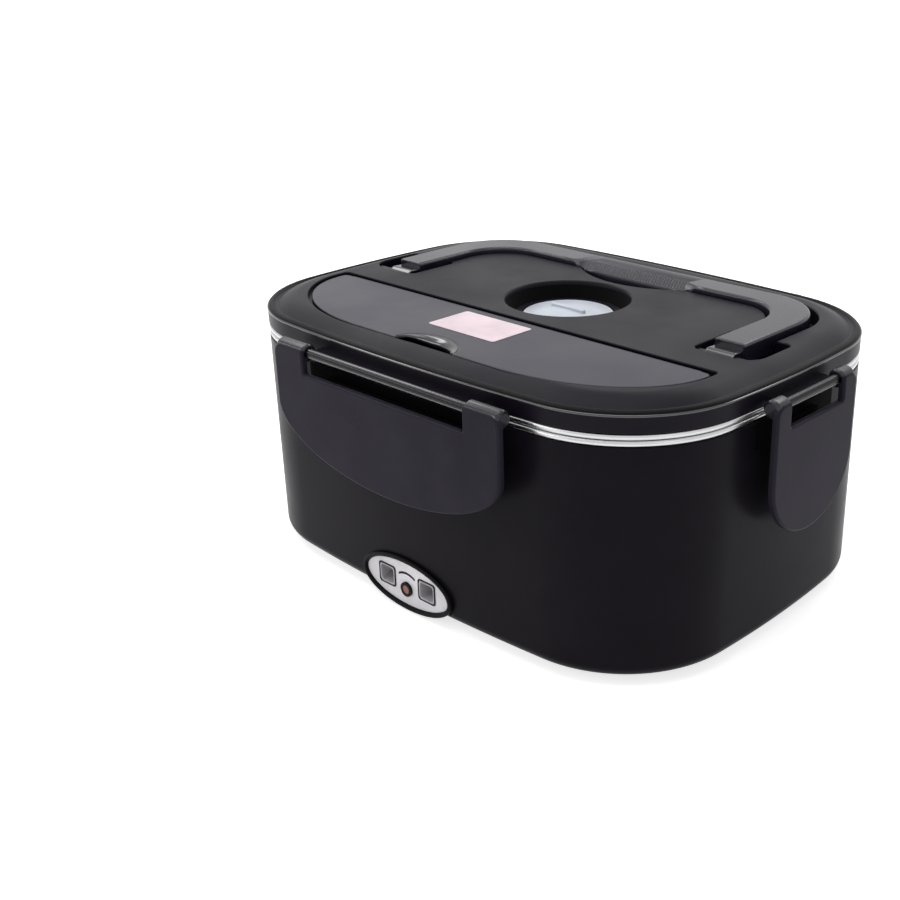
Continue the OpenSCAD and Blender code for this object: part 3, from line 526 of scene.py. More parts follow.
foot_r, wall, rebate, rebate_z = 5.0, 2.4, 1.2, SHELL_TOP - 1.8
shell_profile = np.concatenate([
    [[-12, SHELL_Z]], arc((-foot_r, SHELL_Z + foot_r), foot_r, 270, 360, 12),
    [[0, z] for z in np.linspace(SHELL_Z + 12, SHELL_TOP - 8, 8)],
    arc((-0.5, SHELL_TOP - 0.5), 0.5, 0, 90, 4),
    [[-rebate, SHELL_TOP], [-rebate, rebate_z], [-wall, rebate_z], [-wall, 7.5]],
    [[INSIDE, 7.5], [INSIDE, 5.5], [-12, 5.5]],
])
shell = band("shell_wall", shell_profile)
panel_hole = circle() * (PANEL_RX + 2.2, PANEL_RZ + 2.2)
cut_out(shell, [block("panel_cutter", stood(levels(panel_hole, (90, 72)), 0, PANEL_Z))])
finish_piece(shell, "base", "shell_black", "shell_black", "outer_shell")

# The ledges and the strips behind the latch windows are near black: painted shade.
ledge_profile = rounded([(2, 84.7), (-2.2, 84.7), (-2.2, 86.7), (2, 86.7)], (0.1, 0.5, 0.5, 0.1), 5)
shade_strip_profile = rounded([(0.5, 80), (-0.15, 80), (-0.15, 90.1), (0.5, 90.1)], (0.05,) * 4, 3)
for side, (turns, distance, half, drop, window) in SIDES.items():
    for name, profile, length in (("latch_ledge_", ledge_profile, window - 5),
                                  ("latch_shade_strip_", shade_strip_profile, window + 7)):
        rings = turned_to(bar_rings(profile, length), turns, distance)
        add_block(name + side, rings, "base", "painted_shade_black", "shell_black")
print("shell wall:", len(shell.data.polygons), "faces")

# %% [markdown]
# ## Steel rims
#
# Two bright lines run round the gap between tub and lid: the rolled edge of the steel container
# and a steel ring on top of the shell. Both are half-round beads, so they are bands with a round
# profile. Their brushing runs along the rim, which the bands' own UV map makes easy.

# %% Rim ring and food container
ring_profile = np.concatenate([arc((-1.1, SHELL_TOP + 1.1), 1.1, -90, 90, 15),
                               [[-6, RING_TOP], [-6, SHELL_TOP]]])
ring = finish_piece(band("rim_ring_steel", ring_profile), "base", "steel", "steel", "rim_ring")

inset, sheet, floor_r = 8.4, 1.0, 9.0
roll_from = 180 - math.degrees(math.asin((ROLL_R - sheet) / ROLL_R))
floor_round = (-inset - floor_r, CONTAINER_Z + floor_r)
container_profile = np.concatenate([
    [[INSIDE, CONTAINER_Z]], arc(floor_round, floor_r, 270, 360, 10),
    [[-inset, CONTAINER_TOP - sheet]],
    arc((-ROLL_R, CONTAINER_TOP - ROLL_R), ROLL_R, roll_from, 450, 18),
    [[-inset - sheet, CONTAINER_TOP]],
    arc(floor_round, floor_r - sheet, 360, 270, 10), [[INSIDE, CONTAINER_Z + sheet]],
])
container = band("container_wall", container_profile)
finish_piece(container, "container", "steel", "steel", "food_container")
floor_edge = INSIDE + 0.1
floor_rings = carry([(floor_edge, CONTAINER_Z), (floor_edge, CONTAINER_Z + sheet)])
add_block("container_floor", floor_rings, "container", "heater_aluminium", "steel")
print("rim and container:", len(ring.data.polygons), len(container.data.polygons), "faces")

# %% [markdown]
# ## The lid
#
# The lid is a shallow black tray. Its upright edge ends in a round bead that catches a bright
# line of light. Inside the bead runs a shallow groove, and a sloping shoulder leads up to the
# top. Into the top are sunk the handle's channel, two pockets for its pivots, a scoop for the
# fingers, the cutlery compartment and the valve's bowl. The body is a stack of outlines, and each
# recess is cut by a block with a flared lip, so that every cut edge gets the soft round that
# catches the light in the photograph.

# %% Lid body
def lid_profile():
    """Outset and height of the lid's edge, from the top over the shoulder, groove and bead to the
    underside. The shoulder rises as the sine of its way in, and the groove is a parabola."""
    slope = np.radians(np.linspace(90, 6, 12))
    top = np.stack([-2.2 * EDGE_R - 0.1 * np.degrees(slope),
                    GROOVE_Z + (LID_TOP - GROOVE_Z) * np.sin(slope)], 1)
    bead = arc((-EDGE_R, EDGE_Z), EDGE_R, 130, 0, 16)
    t = np.linspace(0, 1, 8)[1:-1, None]
    low = np.array([-3.6, 101.45])
    groove = (1 - t) ** 2 * top[-1] + 2 * t * (1 - t) * low + t ** 2 * bead[0]
    return np.concatenate([[[INSIDE, LID_TOP]], top, groove, bead,
                           arc((-0.4, SKIRT_Z + 0.4), 0.4, 0, -90, 5),
                           [[-2.2, SKIRT_Z], [-2.2, LID_UNDER], [INSIDE, LID_UNDER]]])


lid = block("lid_body", carry(lid_profile()))
print("lid body:", len(lid.data.polygons), "faces")


# %% Outlines of the lid's recesses
def cover_front(d, steps=40):
    """Front edge of the cover from its left end to its right end, drawn out by d: two quarter
    ellipses, (60 + d) cos a by (41.2 + d) sin a, with a straight edge between them."""
    low = COVER_BACK_Y - COVER_SIDE_H
    axes = (COVER_END + d, low - COVER_FRONT_Y + d)
    left = unit(np.radians(np.linspace(180, 270, steps))) * axes + (COVER_END - COVER_HALF, low)
    return left, left[::-1] * [-1, 1]


def cover_outline(d, back, middle=np.zeros((0, 2))):
    """Closed outline of the cover or of a recess parallel to it, with 2 mm rear corners."""
    side, low = COVER_HALF + d, COVER_BACK_Y - COVER_SIDE_H
    corners = [(side, low), (side, back), (-side, back), (-side, low)]
    left, right = cover_front(d)
    return np.concatenate([rounded(corners, (0.01, 2, 2, 0.01))[10:-10], left, middle, right])


def cover_seat(d):
    """The cover's outline with the play round it, drawn out by d."""
    return cover_outline(COVER_GAP + d, SEAT_BACK_Y + d)


def compartment(d):
    """The cutlery compartment under the cover, 3 mm inside the cover's outline."""
    return cover_outline(d - 3, SEAT_BACK_Y + d)


def channel(d):
    """The handle's U-shaped channel, 1 mm wider than the handle inside and 2.2 mm outside."""
    near, far = 1 + d, 2.2 + d
    ox, ix = HANDLE_OUT_X + far, HANDLE_IN_X - near
    oy, iy = HANDLE_OUT_Y + far, HANDLE_IN_Y - near
    r, ir = HANDLE_R + far - 3, HANDLE_IN_R - near
    return rounded([(ox, PIVOT_Y), (ox, oy), (-ox, oy), (-ox, PIVOT_Y),
                    (-ix, PIVOT_Y), (-ix, iy), (ix, iy), (ix, PIVOT_Y)],
                   (0.2, r, r, 0.2, 0.2, ir, ir, 0.2), 14)


def pivot_pocket(side):
    """The pocket round one pivot, wider than the arm on the outboard side."""
    def outline(d):
        x0, x1 = HANDLE_IN_X - 3.7 - d, HANDLE_OUT_X + 9.4 + d
        y0, y1 = PIVOT_Y - 4.6 - d, PIVOT_Y + 21.2 + d
        radii = (3 + d, 8 + d, 3 + d, 3 + d)
        return rounded([(x0, y0), (x1, y0), (x1, y1), (x0, y1)], radii) * [side, 1]
    return outline


def scoop(d):
    """The finger scoop: a slice of a large circle in front of the grip. Its chord is 55 mm wide
    and its arc 10 mm deep, which gives the radius (27.5^2 + 10^2) / 20."""
    half_chord, sagitta, chord_y, top = 27.5, 10.0, 47.8, 49.5
    r = (half_chord ** 2 + sagitta ** 2) / (2 * sagitta) + d
    cy = chord_y + r - d - sagitta
    half = math.acos((cy - top) / r)
    return unit(np.linspace(-math.pi / 2 - half, -math.pi / 2 + half, 60)) * r + (0, cy)


def bowl_profile():
    """The valve's bowl: a cone that opens upwards and flares into a soft lip, 1.2 by 1.6 mm."""
    inward, below = round_edge(8)
    r = np.r_[BOWL_R, BOWL_TOP_R - 1.2 + 1.2 * inward, BOWL_TOP_R + 0.4]
    return np.stack([r, np.r_[RECESS_Z, LID_TOP - 1.6 * below, LID_TOP + CUT_PAST]], 1)


valve_axis, valve_hole = (0, VALVE_Y), [(VALVE_HOLE_R, LID_UNDER - 1), (VALVE_HOLE_R, LID_TOP)]
cut_out(lid, [
    block("cut_seat", pocket(cover_seat, COVER_Z - 0.1, LID_TOP, 0.45, 0.1)),
    block("cut_compartment", pocket(compartment, RECESS_Z, COVER_Z, 0.4, 1.5)),
    block("cut_channel", pocket(channel, RECESS_Z, LID_TOP, 0.8)),
    *(block("cut_pocket", pocket(pivot_pocket(s), RECESS_Z, LID_TOP, 0.7)) for s in (-1, 1)),
    block("cut_scoop", pocket(scoop, RECESS_Z + 1, LID_TOP, 1.0, 0.8)),
    block("cut_bowl", lathe(bowl_profile(), valve_axis)),
    block("cut_valve_hole", lathe(valve_hole, valve_axis)),
])
finish_piece(lid, "lid", "lid_black", "lid_black", "lid_cover")
print("lid after its cuts:", len(lid.data.polygons), "faces")

# %% [markdown]
# ## A bead with a polished ridge, and a dark bowl
#
# Hands and cloths polish what stands proud, so a thin glossy ridge runs round the bead. The bead
# itself is coloured darker than the lid as painted shade. The wall of the valve's bowl lies in
# shade, and a near-black sheet over it is painted shade. All three are thin bands of their own, so
# that they can have another material than the lid.

# %% Bead, ridge and painted shade in the bowl
# The bead is coloured darker than the lid: painted shade.
bead_profile = np.concatenate([arc((-EDGE_R, EDGE_Z), EDGE_R + 0.03, 128, 8, 16),
                               arc((-EDGE_R, EDGE_Z), EDGE_R - 0.6, 8, 128, 8)])
bead = finish_piece(band("lid_bead_shaded", bead_profile), "lid", "frame_black", "lid_black")
ridge_at = unit(0.25) * LINE_AT + (-EDGE_R, EDGE_Z)
finish_piece(band("lid_ridge", arc(ridge_at, 0.5, 0, 345, 16)), "lid", "gloss_black", "lid_black")
# A near-black sheet over the bowl's wall: painted shade.
bowl_shade_profile = [(-1.65, 98.45), (1.35, 103.45), (1.9, 103.45), (-1.1, 98.45)]
bowl_shade = band("bowl_shade_sheet", bowl_shade_profile, (circle(160) * 24.0 + valve_axis, circle(160)))
finish_piece(bowl_shade, "lid", "painted_shade_black", "lid_black")
print("bead and sleeve:", len(bead.data.polygons), len(bowl_shade.data.polygons), "faces")

# %% [markdown]
# ## Hinge rails
#
# Each latch hangs from a slim rail that stands off the lid's edge on a thin shelf. Two bright
# lines run along it in the photograph. A satin round would show one broad streak, so two thin
# polished rods lie in the rail and stand out of it by a hair.

# %% Rails on the lid's edge
def rail_profile():
    """Profile (y, z) of shelf and rail: a round of 1.9 mm radius that meets a 2 mm shelf."""
    meet = math.degrees(math.asin(1 / RAIL_R))
    bead = arc((-AXIS_OUT, AXIS_Z), RAIL_R - 0.2, meet, 360 - meet, 24)
    return np.concatenate([[(1.6, AXIS_Z + 1)], bead, [(1.6, AXIS_Z - 1)]])


for side, (turns, distance, half, drop, window) in SIDES.items():
    bars = {"latch_rail_" + side: (rail_profile(), 0.3, "edge_black")}
    for name, angle in (("top", 115), ("low", 205)):
        line_at = unit(math.radians(angle)) * LINE_AT + (-AXIS_OUT, AXIS_Z)
        bars[f"rail_line_{side}_{name}"] = (arc(line_at, 0.42, 0, 340, 16), 0.2, "gloss_black")
    for name, (profile, end_r, material) in bars.items():
        rings = turned_to(bar_rings(profile, window - 0.4, end_r), turns, distance)
        add_block(name, rings, "lid", material, "lid_black")
print("four hinge rails")

# %% [markdown]
# ## Latches
#
# A latch is a flat plate whose lower edge is half an ellipse. A window near its top leaves room
# for the rail, and the knuckles on either side of the window turn on a steel pin. The plate's
# front edge has a generous round, because that is the thin bright line that outlines every latch
# in the photograph. The outline with its window is one closed curve, so the plate is a soft slab.

# %% Latch plates, knuckles and hooks
def latch_outline(half, drop, window):
    """Outline of one latch in (x, z): lower half ellipse, straight sides, window from above."""
    sweep = min(0.93 * half, 0.53 * drop)
    low = sweep - drop

    def outline(d):
        top, sill, x, gap = 1.9 + d, -7.5 + d, half + d, window - d
        upper = rounded([(x, low), (x, top), (gap, top), (gap, sill),
                         (-gap, sill), (-gap, top), (-x, top), (-x, low)],
                        (0.01, 4 + d, 0.9 + d, 0.8 - d, 0.8 - d, 0.9 + d, 4 + d, 0.01), 7)[7:-7]
        lower = unit(np.radians(np.linspace(180, 360, 73))) * (x, sweep + d) + (0, low)
        return np.concatenate([upper, lower])
    return outline


def knuckle(end, window, half):
    """Rings of a knuckle: a round bar of 3.5 mm radius along X with rounded ends."""
    ends = half - 1
    round_bar = arc((-AXIS_OUT, AXIS_Z), KNUCKLE_R, 0, 352.5, 48)
    return bar_rings(round_bar, (ends - window) / 2, 1.2) + [end * (window + ends) / 2, 0, 0]


# The latch hooks are near black: painted shade, where they lie behind the plate.
hook_profile = rounded([(-6.9, 84.4), (-2.5, 84.4), (-2.5, 83.4), (-6.9, 81.0)],
                       (0.1, 0.3, 0.3, 0.1), 4)
for side, (turns, distance, half, drop, window) in SIDES.items():
    body = "latch_" + side
    plate = soft_slab(latch_outline(half, drop, window), 6.5, LATCH_OUT, 0.25, 1.0)
    for kind, material, rings in (
            (f"plate_{side}", "latch_black", stood(plate, 0, AXIS_Z)),
            (f"knuckle_{side}_a", "knuckle_black", knuckle(-1, window, half)),
            (f"knuckle_{side}_b", "knuckle_black", knuckle(1, window, half)),
            (f"hook_{side}", "painted_shade_black", bar_rings(hook_profile, window - 5, 0.3))):
        rings = turned_to(rings, turns, distance)
        add_block("latch_" + kind, rings, body, material, "latch_black", body)
print("four latches")

# %% [markdown]
# ## The carrying handle
#
# The handle is a flat U of moulded plastic, lying in its channel. Its section is carried along
# the U: two arms, two round corners and the grip. Each arm stops short of its pivot with a
# flat end, and a lower, thinner barrel stands in front of it, as in the photograph. A bevel with
# fine ribs is cut along the grip's inner edge, and it fades out at both ends.

# %% Handle
END_ROUND = 0.7


def handle_edge(x, y, r, steps=26):
    """Points along one edge of the handle's U, from the right arm's end to the left one's."""
    cx, cy = x - r, y - r
    turn = arc((cx, cy), r, 0, 90, steps)
    arm = np.stack([np.full(8, x), np.linspace(ARM_END_Y + END_ROUND, cy - 1, 8)], 1)
    bar = np.stack([np.linspace(cx - 1, 1 - cx, 20), np.full(20, y)], 1)
    return np.concatenate([arm, turn, bar, turn[::-1] * [-1, 1], arm[::-1] * [-1, 1]])


def handle_rings():
    """Section of the handle at each pair of edge points. Its two halves part until they reach
    both edges. At either end the section moves on by R sin a while it shrinks all round by
    R (1 - cos a), which rounds the arm's flat end by R."""
    w, t = HANDLE_W / 2, HANDLE_T

    def section(d):
        return rounded([(-w + d, d), (w - d, d), (w - d, t - d), (-w + d, t - d)],
                       (1.5 - d, 1.5 - d, 1.3 - d, 1.3 - d), 9)

    outer = handle_edge(HANDLE_OUT_X, HANDLE_OUT_Y, HANDLE_R)
    inner = handle_edge(HANDLE_IN_X, HANDLE_IN_Y, HANDLE_IN_R)
    path = (outer + inner) / 2
    width = np.linalg.norm(outer - inner, axis=1, keepdims=True)
    across = (outer - inner) / width
    full = section(0)
    aside = full[:, 0] + np.sign(full[:, 0]) * (width / 2 - w)
    high = np.broadcast_to(full[:, 1:] + HANDLE_Z, aside.shape + (1,))
    body = np.concatenate([path[:, None] + aside[..., None] * across[:, None], high], 2)
    a = np.linspace(np.pi / 2, 0, 7)[:-1]
    shrunk = [section(END_ROUND * (1 - np.cos(b))) + (path[0, 0], HANDLE_Z) for b in a]
    end = levels(shrunk, path[0, 1] - END_ROUND * np.sin(a))[..., [0, 2, 1]]
    return np.concatenate([end, body, end[::-1] * [-1, 1, 1]])


handle = add_block("carrying_handle", handle_rings(), "handle", "handle_black", "handle_black",
                   "handle")
barrel_profile = np.concatenate([arc((PIVOT_Y, PIVOT_Z), BARREL_R, 90, 270, 24),
                                 [(ARM_END_Y + 1, PIVOT_Z - 2.8), (ARM_END_Y + 1, PIVOT_Z + 2.8)]])
for side, name in ((-1, "left"), (1, "right")):
    rings = bar_rings(barrel_profile, HANDLE_W / 2 - 0.5, END_ROUND)
    rings = rings + [side * (HANDLE_OUT_X - HANDLE_W / 2), 0, 0]
    add_block("handle_barrel_" + name, rings, "handle", "gloss_black", "handle_black", "handle")


def rib_plan(back, count=36, pitch=1.5, deep=0.3):
    """Outline of the ribbed slope on the grip's inner edge: its front lies back from the edge,
    and stands out by deep |sin| of the way along, one half wave for each rib."""
    x = np.linspace(0, count, count * 6 + 1)
    y = HANDLE_IN_Y + back - deep * np.abs(np.sin(np.pi * x))
    front = np.stack([(x - count / 2) * pitch, y], 1)
    return np.concatenate([front, np.stack([front[::-1, 0], np.full(len(x), HANDLE_IN_Y + 6)], 1)])


bevel, faded = (np.array(corners) + (HANDLE_IN_Y, HANDLE_Z) for corners in (
    [(-1, 5.2), (0.3, 5.2), (3.4, 8.6), (-1, 8.6)], [(-1, 8.2), (-0.2, 8.2), (0, 8.6), (-1, 8.6)]))
bevel_rings = np.roll(levels([faded, bevel, bevel, faded], (-36, -27, 27, 36)), 1, -1)
cut_out(handle, [block("cut_bevel", bevel_rings)])
rib_rings = levels([rib_plan(0.35), rib_plan(0.35), rib_plan(3.3)],
                   HANDLE_Z + np.array([5.0, 5.2, 8.38]))
ribs = add_block("grip_ribs", rib_rings, "handle", "handle_black", "handle_black", "handle")
print("handle:", len(handle.data.polygons), "faces, ribs:", len(ribs.data.polygons))

# %% [markdown]
# ## The cutlery cover
#
# The cover is a flat lid with a straight hinge edge at the back. Its front edge sweeps back to
# the hinge in two quarter ellipses, and a finger notch dips into the middle of that edge. The
# cover is a stack of such outlines, and a glossy collar leads down into the notch. The barrel
# along the back edge turns in the compartment's wall.

# %% Cutlery cover and blank label
def cover_ring(inset, height, lip, lip_height, points=60):
    """One ring of the cover: its outline drawn in by inset at one height, with the notch grown by
    lip at its own height. The notch is the part of an ellipse behind the front edge. Near its two
    ends the lip fades out as the square root of the sine of the way round."""
    front = COVER_FRONT_Y + COVER_PLAY + inset
    start = math.asin(np.clip((front - COVER_FRONT_Y) / (NOTCH_RY + lip), -1, 1))
    fade = np.sqrt(np.clip(np.sin(np.linspace(0, np.pi, points)), 0, 1))
    axes = np.array([NOTCH_RX, NOTCH_RY]) + (inset + (lip - inset) * fade)[:, None]
    notch = unit(np.linspace(math.pi - start, start, points)) * axes + (0, COVER_FRONT_Y)
    notch[:, 1] = np.maximum(notch[:, 1], front)
    outline = cover_outline(-inset - COVER_PLAY, COVER_BACK_Y - inset, notch)
    z = np.full(len(outline), height)
    first = len(outline) - 40 - points
    z[first:first + points] += (lip_height - height) * fade
    return np.column_stack([outline, z])


rounds = list(zip(*round_edge(9)))
cover_rings = [cover_ring(0.2 * i, COVER_Z + 0.2 * b, 0.2 * i, COVER_Z + 0.2 * b)
               for i, b in rounds[::-1]]
cover_rings += [cover_ring(0.6 * i, COVER_TOP - 0.6 * b, 2.6 * i, COVER_TOP - 1.3 * b)
                for i, b in rounds]
cover = add_block("cutlery_lid", np.stack(cover_rings), "cover", "cover_black", "cover_black",
                  "cutlery_cover")


def notch_collar(steps=48):
    """Rings of the rounded lip that leads from the cover down into the finger notch. It follows
    the notch's ellipse at angle a. Its width and depth grow with a smooth step of a, and they
    fall again towards the left end."""
    a = np.linspace(0.02, 2.95, steps)
    rise = np.clip(a / 0.5, 0, 1) * np.clip((2.95 - a) / 1.3, 0, 1)
    rise = (rise * rise * (3 - 2 * rise))[:, None]
    axes = (NOTCH_RX + 0.4, NOTCH_RY + 0.3)
    at, out = unit(a) * axes + (0, COVER_FRONT_Y), unit(a) / axes
    out /= np.linalg.norm(out, axis=1, keepdims=True)
    b = np.linspace(0, np.pi / 2, 10)
    wide, deep = 0.3 + 2.9 * rise, 1.0 + 1.7 * rise
    d = np.concatenate([0.3 - wide * np.sin(b), np.full((steps, 1), 0.35)], 1)
    z = np.concatenate([COVER_TOP + 0.02 - deep * (1 - np.cos(b)), COVER_TOP - deep], 1)
    plan = at[:, None] + d[..., None] * out[:, None]
    plan[..., 1] = np.maximum(plan[..., 1], COVER_FRONT_Y + COVER_PLAY)
    return np.concatenate([plan, z[..., None]], 2)


add_block("notch_collar", notch_collar(), "cover", "gloss_black", "cover_black")
# A near-black sheet round the cover's sides: painted shade.
side_shade_rings = np.stack([cover_ring(-0.04, COVER_Z + 0.25, -0.04, COVER_Z + 0.2),
                       cover_ring(-0.04, COVER_TOP - 0.6, -0.04, COVER_TOP - 1.3)])
add_block("cutlery_lid_side_shade", side_shade_rings, "cover", "painted_shade_black", "cover_black")
barrel_rings = bar_rings(arc((COVER_BACK_Y, 103.1), 1.3, 0, 350, 36), 92.8, 0.4)
add_block("cutlery_lid_barrel", barrel_rings, "cover", "cover_black", "cover_black",
          "cutlery_cover")


def box_plan(x, y, r):
    """Outline of a rounded box, as a function of how far it is drawn out."""
    return lambda d: rounded([(x[0] - d, y[0] - d), (x[1] + d, y[0] - d),
                              (x[1] + d, y[1] + d), (x[0] - d, y[1] + d)], (r + d,) * 4)


def label_plan(d):
    """The blank label's outline, whose corners keep their radius."""
    return box_plan(LABEL_X, LABEL_Y, 1.2 - d)(d)


label_rings = soft_slab(label_plan, COVER_TOP + 0.01, COVER_TOP + 0.16, 0.02, 0.06)
add_block("blank_label", label_rings, "cover", "label_white", "cover_black")
print("cover:", len(cover.data.polygons), "faces, and a blank label")

# %% [markdown]
# ## The steam valve
#
# In the middle of the bowl sits a white domed disc with a low grip bar across it. Its height
# falls with the square of the radius. A lathe profile gives the disc, and a soft slab the bar.

# %% Steam valve
dome = np.linspace(DOME_R, 0.05, 16)
dome_z = VALVE_Z + 1.8 + DOME_H * (1 - (dome / DOME_R) ** 2)
disc_profile = np.concatenate([
    [[0.05, 91.6], [3.7, 91.6], [3.7, VALVE_Z]],
    arc((VALVE_R - 0.3, VALVE_Z + 0.3), 0.3, -90, 0, 4),
    arc((VALVE_R - 0.6, VALVE_Z + 1.2), 0.6, 0, 90, 6), np.stack([dome, dome_z], 1),
])
grip_plan = box_plan((-9, 9), (VALVE_Y - 1.1, VALVE_Y + 1.1), 1.05)
for name, rings in (("valve_disc", lathe(disc_profile, valve_axis)),
                    ("valve_grip", soft_slab(grip_plan, 98.3, 101.5, 0.1, 0.6))):
    piece = add_block(name, rings, "valve", "valve_white", "valve_white", "steam_valve")
    print(name, len(piece.data.polygons), "faces")

# %% [markdown]
# ## The control panel
#
# An oval black frame holds a pale faceplate with two square sockets and a small lamp. The frame's
# front edge is rounded, so it is an oval band with its profile standing out from the shell. The
# faceplate, sockets, contacts and lamp keep their CAD solids, which are flat and exact. Dark
# edges round the sockets and the lamp set them off from the faceplate, with an arc between them.

# %% Panel frame
oval_at = circle(192) * (PANEL_RX, PANEL_RZ)
oval_out = oval_at / np.array([PANEL_RX, PANEL_RZ]) ** 2
oval_out = oval_out / np.linalg.norm(oval_out, axis=1, keepdims=True)
frame_profile = np.concatenate([
    arc((0.9, 85.3), 0.7, 180, 90, 6), arc((1.2, 85.2), 0.8, 90, 0, 8),
    [[2.0, PANEL_BACK], [-1.6, PANEL_BACK], [-1.6, 83.2], [0.2, 83.2]],
])
panel_frame = band("panel_bezel", frame_profile, (oval_at, oval_out),
                   lambda points: stood(points, 0, PANEL_Z))
finish_piece(panel_frame, "base", "frame_black", "base_black", "panel_frame")
back_rings = stood(levels(oval_at - oval_out, (PANEL_BACK + 1.6, PANEL_BACK)), 0, PANEL_Z)
add_block("panel_back", back_rings, "base", "frame_black", "base_black", "panel_frame")

for side, name in ((-1, "left"), (1, "right")):
    outer = box_plan((-4.75, 4.75), (-4.45, 4.45), 1.3)(0)
    inner = box_plan((-4.2, 4.2), (-3.9, 3.9), 0.9)(0)
    loop = levels([outer, outer, inner, inner], FACE + np.array([-0.4, 0.3, 0.3, -0.4]))
    points = stood(loop, side * SOCKET_X, PANEL_Z + SOCKET_Z).reshape(-1, 3)
    edge = make_object("socket_edge_" + name, points, face_grid(4, len(outer), True))
    finish_piece(edge, "base", "frame_black", "base_black")
arch_x = np.linspace(-4.6, 4.6, 24)
bow = np.stack([arch_x, 4.9 - 0.06 * arch_x ** 2], 1)
arch_rings = levels(np.concatenate([bow, bow[::-1] - (0, 0.9)]), (FACE - 0.1, FACE + 0.1))
add_block("panel_arch", stood(arch_rings, 0, PANEL_Z), "base", "frame_black", "base_black")
lens_profile = [(0.05, FACE - 0.4), (0.05, FACE + 0.95), (-1.1, FACE + 0.95), (-1.1, FACE - 0.4)]
lens_ring = band("lamp_ring", lens_profile, (circle(160) * 2.9, circle(160)),
                 lambda points: stood(points, 0, PANEL_Z + LAMP_Z))
finish_piece(lens_ring, "base", "frame_black", "base_black")
print("panel frame:", len(panel_frame.data.polygons), "faces")

# %% [markdown]
# ## Finishes on the carried-over CAD nodes
#
# The small and the hidden solids keep their CAD shape. Each one still gets its own finish: rubber
# for the feet, brushed metal for screws, pins and the heating plate, pale plastic for the liner.

# %% Finishes for CAD nodes
corners = ("front_left", "front_right", "back_left", "back_right")
cad_finish = {
    "tub_grey": ["inner_tub"], "base_black": ["base_plate", "handle_pin_left", "handle_pin_right"],
    "heater_aluminium": ["heating_plate", "heater_clamp"],
    "cutout_white": ["heating_strip_front", "heating_strip_back", "thermal_cutout"],
    "panel_white": ["panel_face"], "socket_grey": ["socket_left", "socket_right"],
    "contact_brass": ["contacts_left", "contacts_right"], "board_green": ["lamp_board"],
    "lamp_amber": ["lamp_lens", "lamp_led"], "liner_white": ["lid_liner"],
    "seal_white": ["lid_seal"], "spoon_steel": ["spoon"],
    "foot_rubber": ["foot_" + corner for corner in corners],
    "screw_steel": ["screw_" + corner for corner in corners] + ["latch_pin_" + s for s in SIDES],
}
for material, names in cad_finish.items():
    for name in names:
        give_finish(nodes[name], material)
print("CAD nodes with a finish:", sum(map(len, cad_finish.values())), "of", len(nodes))

# %% [markdown]
# ## Floor, light and camera
#
# The photograph is a cut-out on white with hardly any shadow. A large pale floor and a white
# world give that background. Both are only bright for rays that come straight from the camera or
# off gloss, so that they don't flood the black plastic. A broad lamp overhead, two fills and two
# long strips of light model the forms.

# %% Floor and world
plane = bpy.data.meshes.new("floor")
plane.from_pydata([(-6, -6, 0), (6, -6, 0), (6, 6, 0), (-6, 6, 0)], [], [(0, 1, 2, 3)])
floor = bpy.data.objects.new("floor", plane)
bpy.context.scene.collection.objects.link(floor)
tree, shader = new_material("studio_floor")
set_inputs(shader, {"Base Color": (0.86, 0.86, 0.86, 1), "Roughness": 0.9,
                    "Specular IOR Level": 0.0, "Emission Color": (1, 1, 1, 1)})


def background_rays(tree):
    """1 for rays from the camera, off gloss or through glass, and 0 for all others."""
    path = add_node(tree, "LightPath")
    value = path.outputs["Is Camera Ray"]
    for kind in ("Is Glossy Ray", "Is Transmission Ray"):
        either = add_node(tree, "Math", links={0: value, 1: path.outputs[kind]})
        either.operation = "MAXIMUM"
        value = either.outputs[0]
    return value


FLOOR_GLOW, WORLD_DIM, WORLD_BRIGHT = 0.72, 0.4, 1.0
lift = add_node(tree, "Math", {1: FLOOR_GLOW}, {0: background_rays(tree)})
lift.operation = "MULTIPLY"
tree.links.new(lift.outputs[0], shader.inputs["Emission Strength"])
plane.materials.append(finishes["studio_floor"])

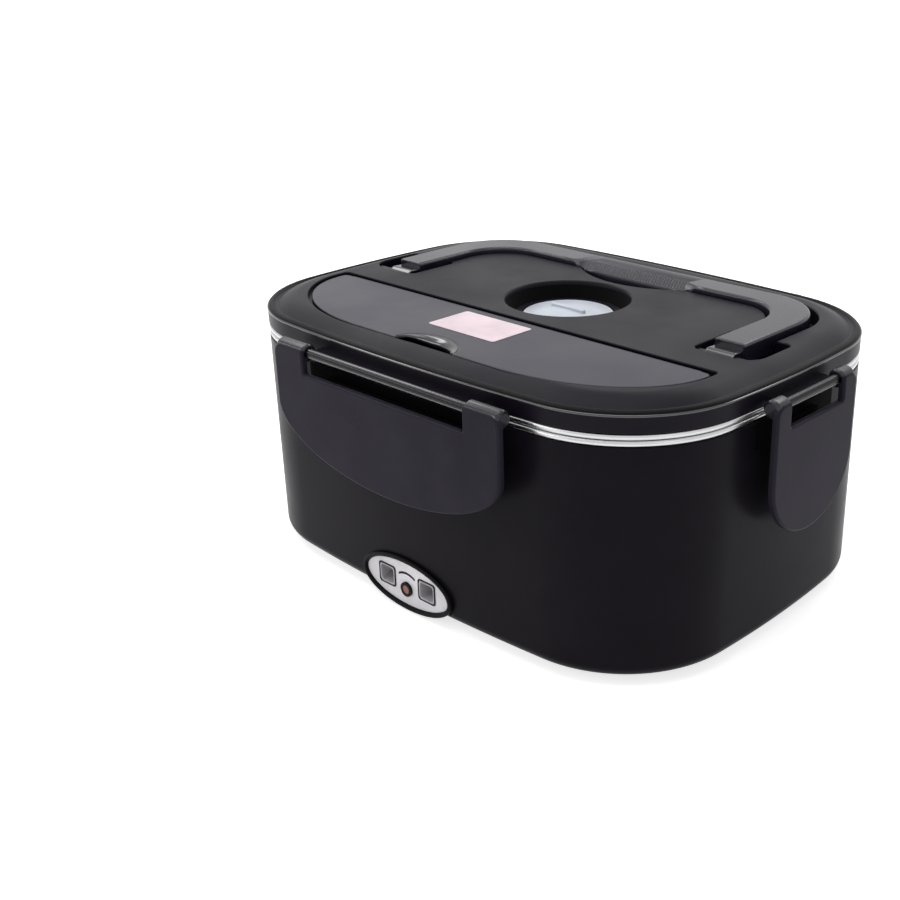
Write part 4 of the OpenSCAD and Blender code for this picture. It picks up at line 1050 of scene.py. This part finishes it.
world = bpy.data.worlds.new("studio")
bpy.context.scene.world = world
world.use_nodes = True
tree = world.node_tree
back = tree.nodes["Background"]
set_inputs(back, {"Color": (1, 1, 1, 1)})
level = add_node(tree, "MapRange", {"To Min": WORLD_DIM, "To Max": WORLD_BRIGHT},
                 {"Value": background_rays(tree)})
tree.links.new(level.outputs["Result"], back.inputs["Strength"])


# %% Lamps and camera
def soft_lamp(name, place, aim, size, power, colour=(1, 1, 1)):
    """A rectangular area lamp at place that looks at aim; size is its width and its height."""
    data = bpy.data.lights.new(name, "AREA")
    data.shape, data.size, data.size_y, data.energy = "RECTANGLE", size[0], size[1], power
    data.color = colour
    lamp = bpy.data.objects.new(name, data)
    lamp.location = place
    lamp.rotation_euler = (Vector(aim) - Vector(place)).to_track_quat("-Z", "Y").to_euler()
    bpy.context.scene.collection.objects.link(lamp)


soft_lamp("overhead", (-0.15, -0.1, 1.2), (0, 0, 0.08), (0.9, 0.9), 5)
soft_lamp("right_fill", (1.1, -0.3, 0.7), (0, 0, 0.06), (0.25, 0.25), 0.4, (0.7, 0.78, 1.0))
soft_lamp("left_fill", (-0.7, -1.0, 0.6), (0, 0, 0.06), (1.0, 0.16), 2.4, (1.0, 0.95, 0.96))
soft_lamp("left_strip", (-0.85, 0.02, 0.85), (0, 0, 0.1), (0.9, 0.16), 2.2)
soft_lamp("back_strip", (0.05, 0.85, 0.85), (0, 0, 0.1), (0.9, 0.16), 2.2)

lens = bpy.data.cameras.new("photo_camera")
lens.sensor_width, lens.lens = 36.0, 49.46
lens.shift_x, lens.shift_y = -0.1416, -0.0112
lens.clip_start = 0.01
camera = bpy.data.objects.new("photo_camera", lens)
camera.location = (0.32457, -0.35292, 0.24511)
camera.rotation_euler = (math.radians(90 - 22.674), 0, math.radians(41.526))
bpy.context.scene.collection.objects.link(camera)
bpy.context.scene.camera = camera
bpy.context.scene.view_settings.view_transform = "Standard"
print("camera at", tuple(round(v, 3) for v in camera.location))

# %% [markdown]
#

# %% Finish
bpy.context.view_layer.update()
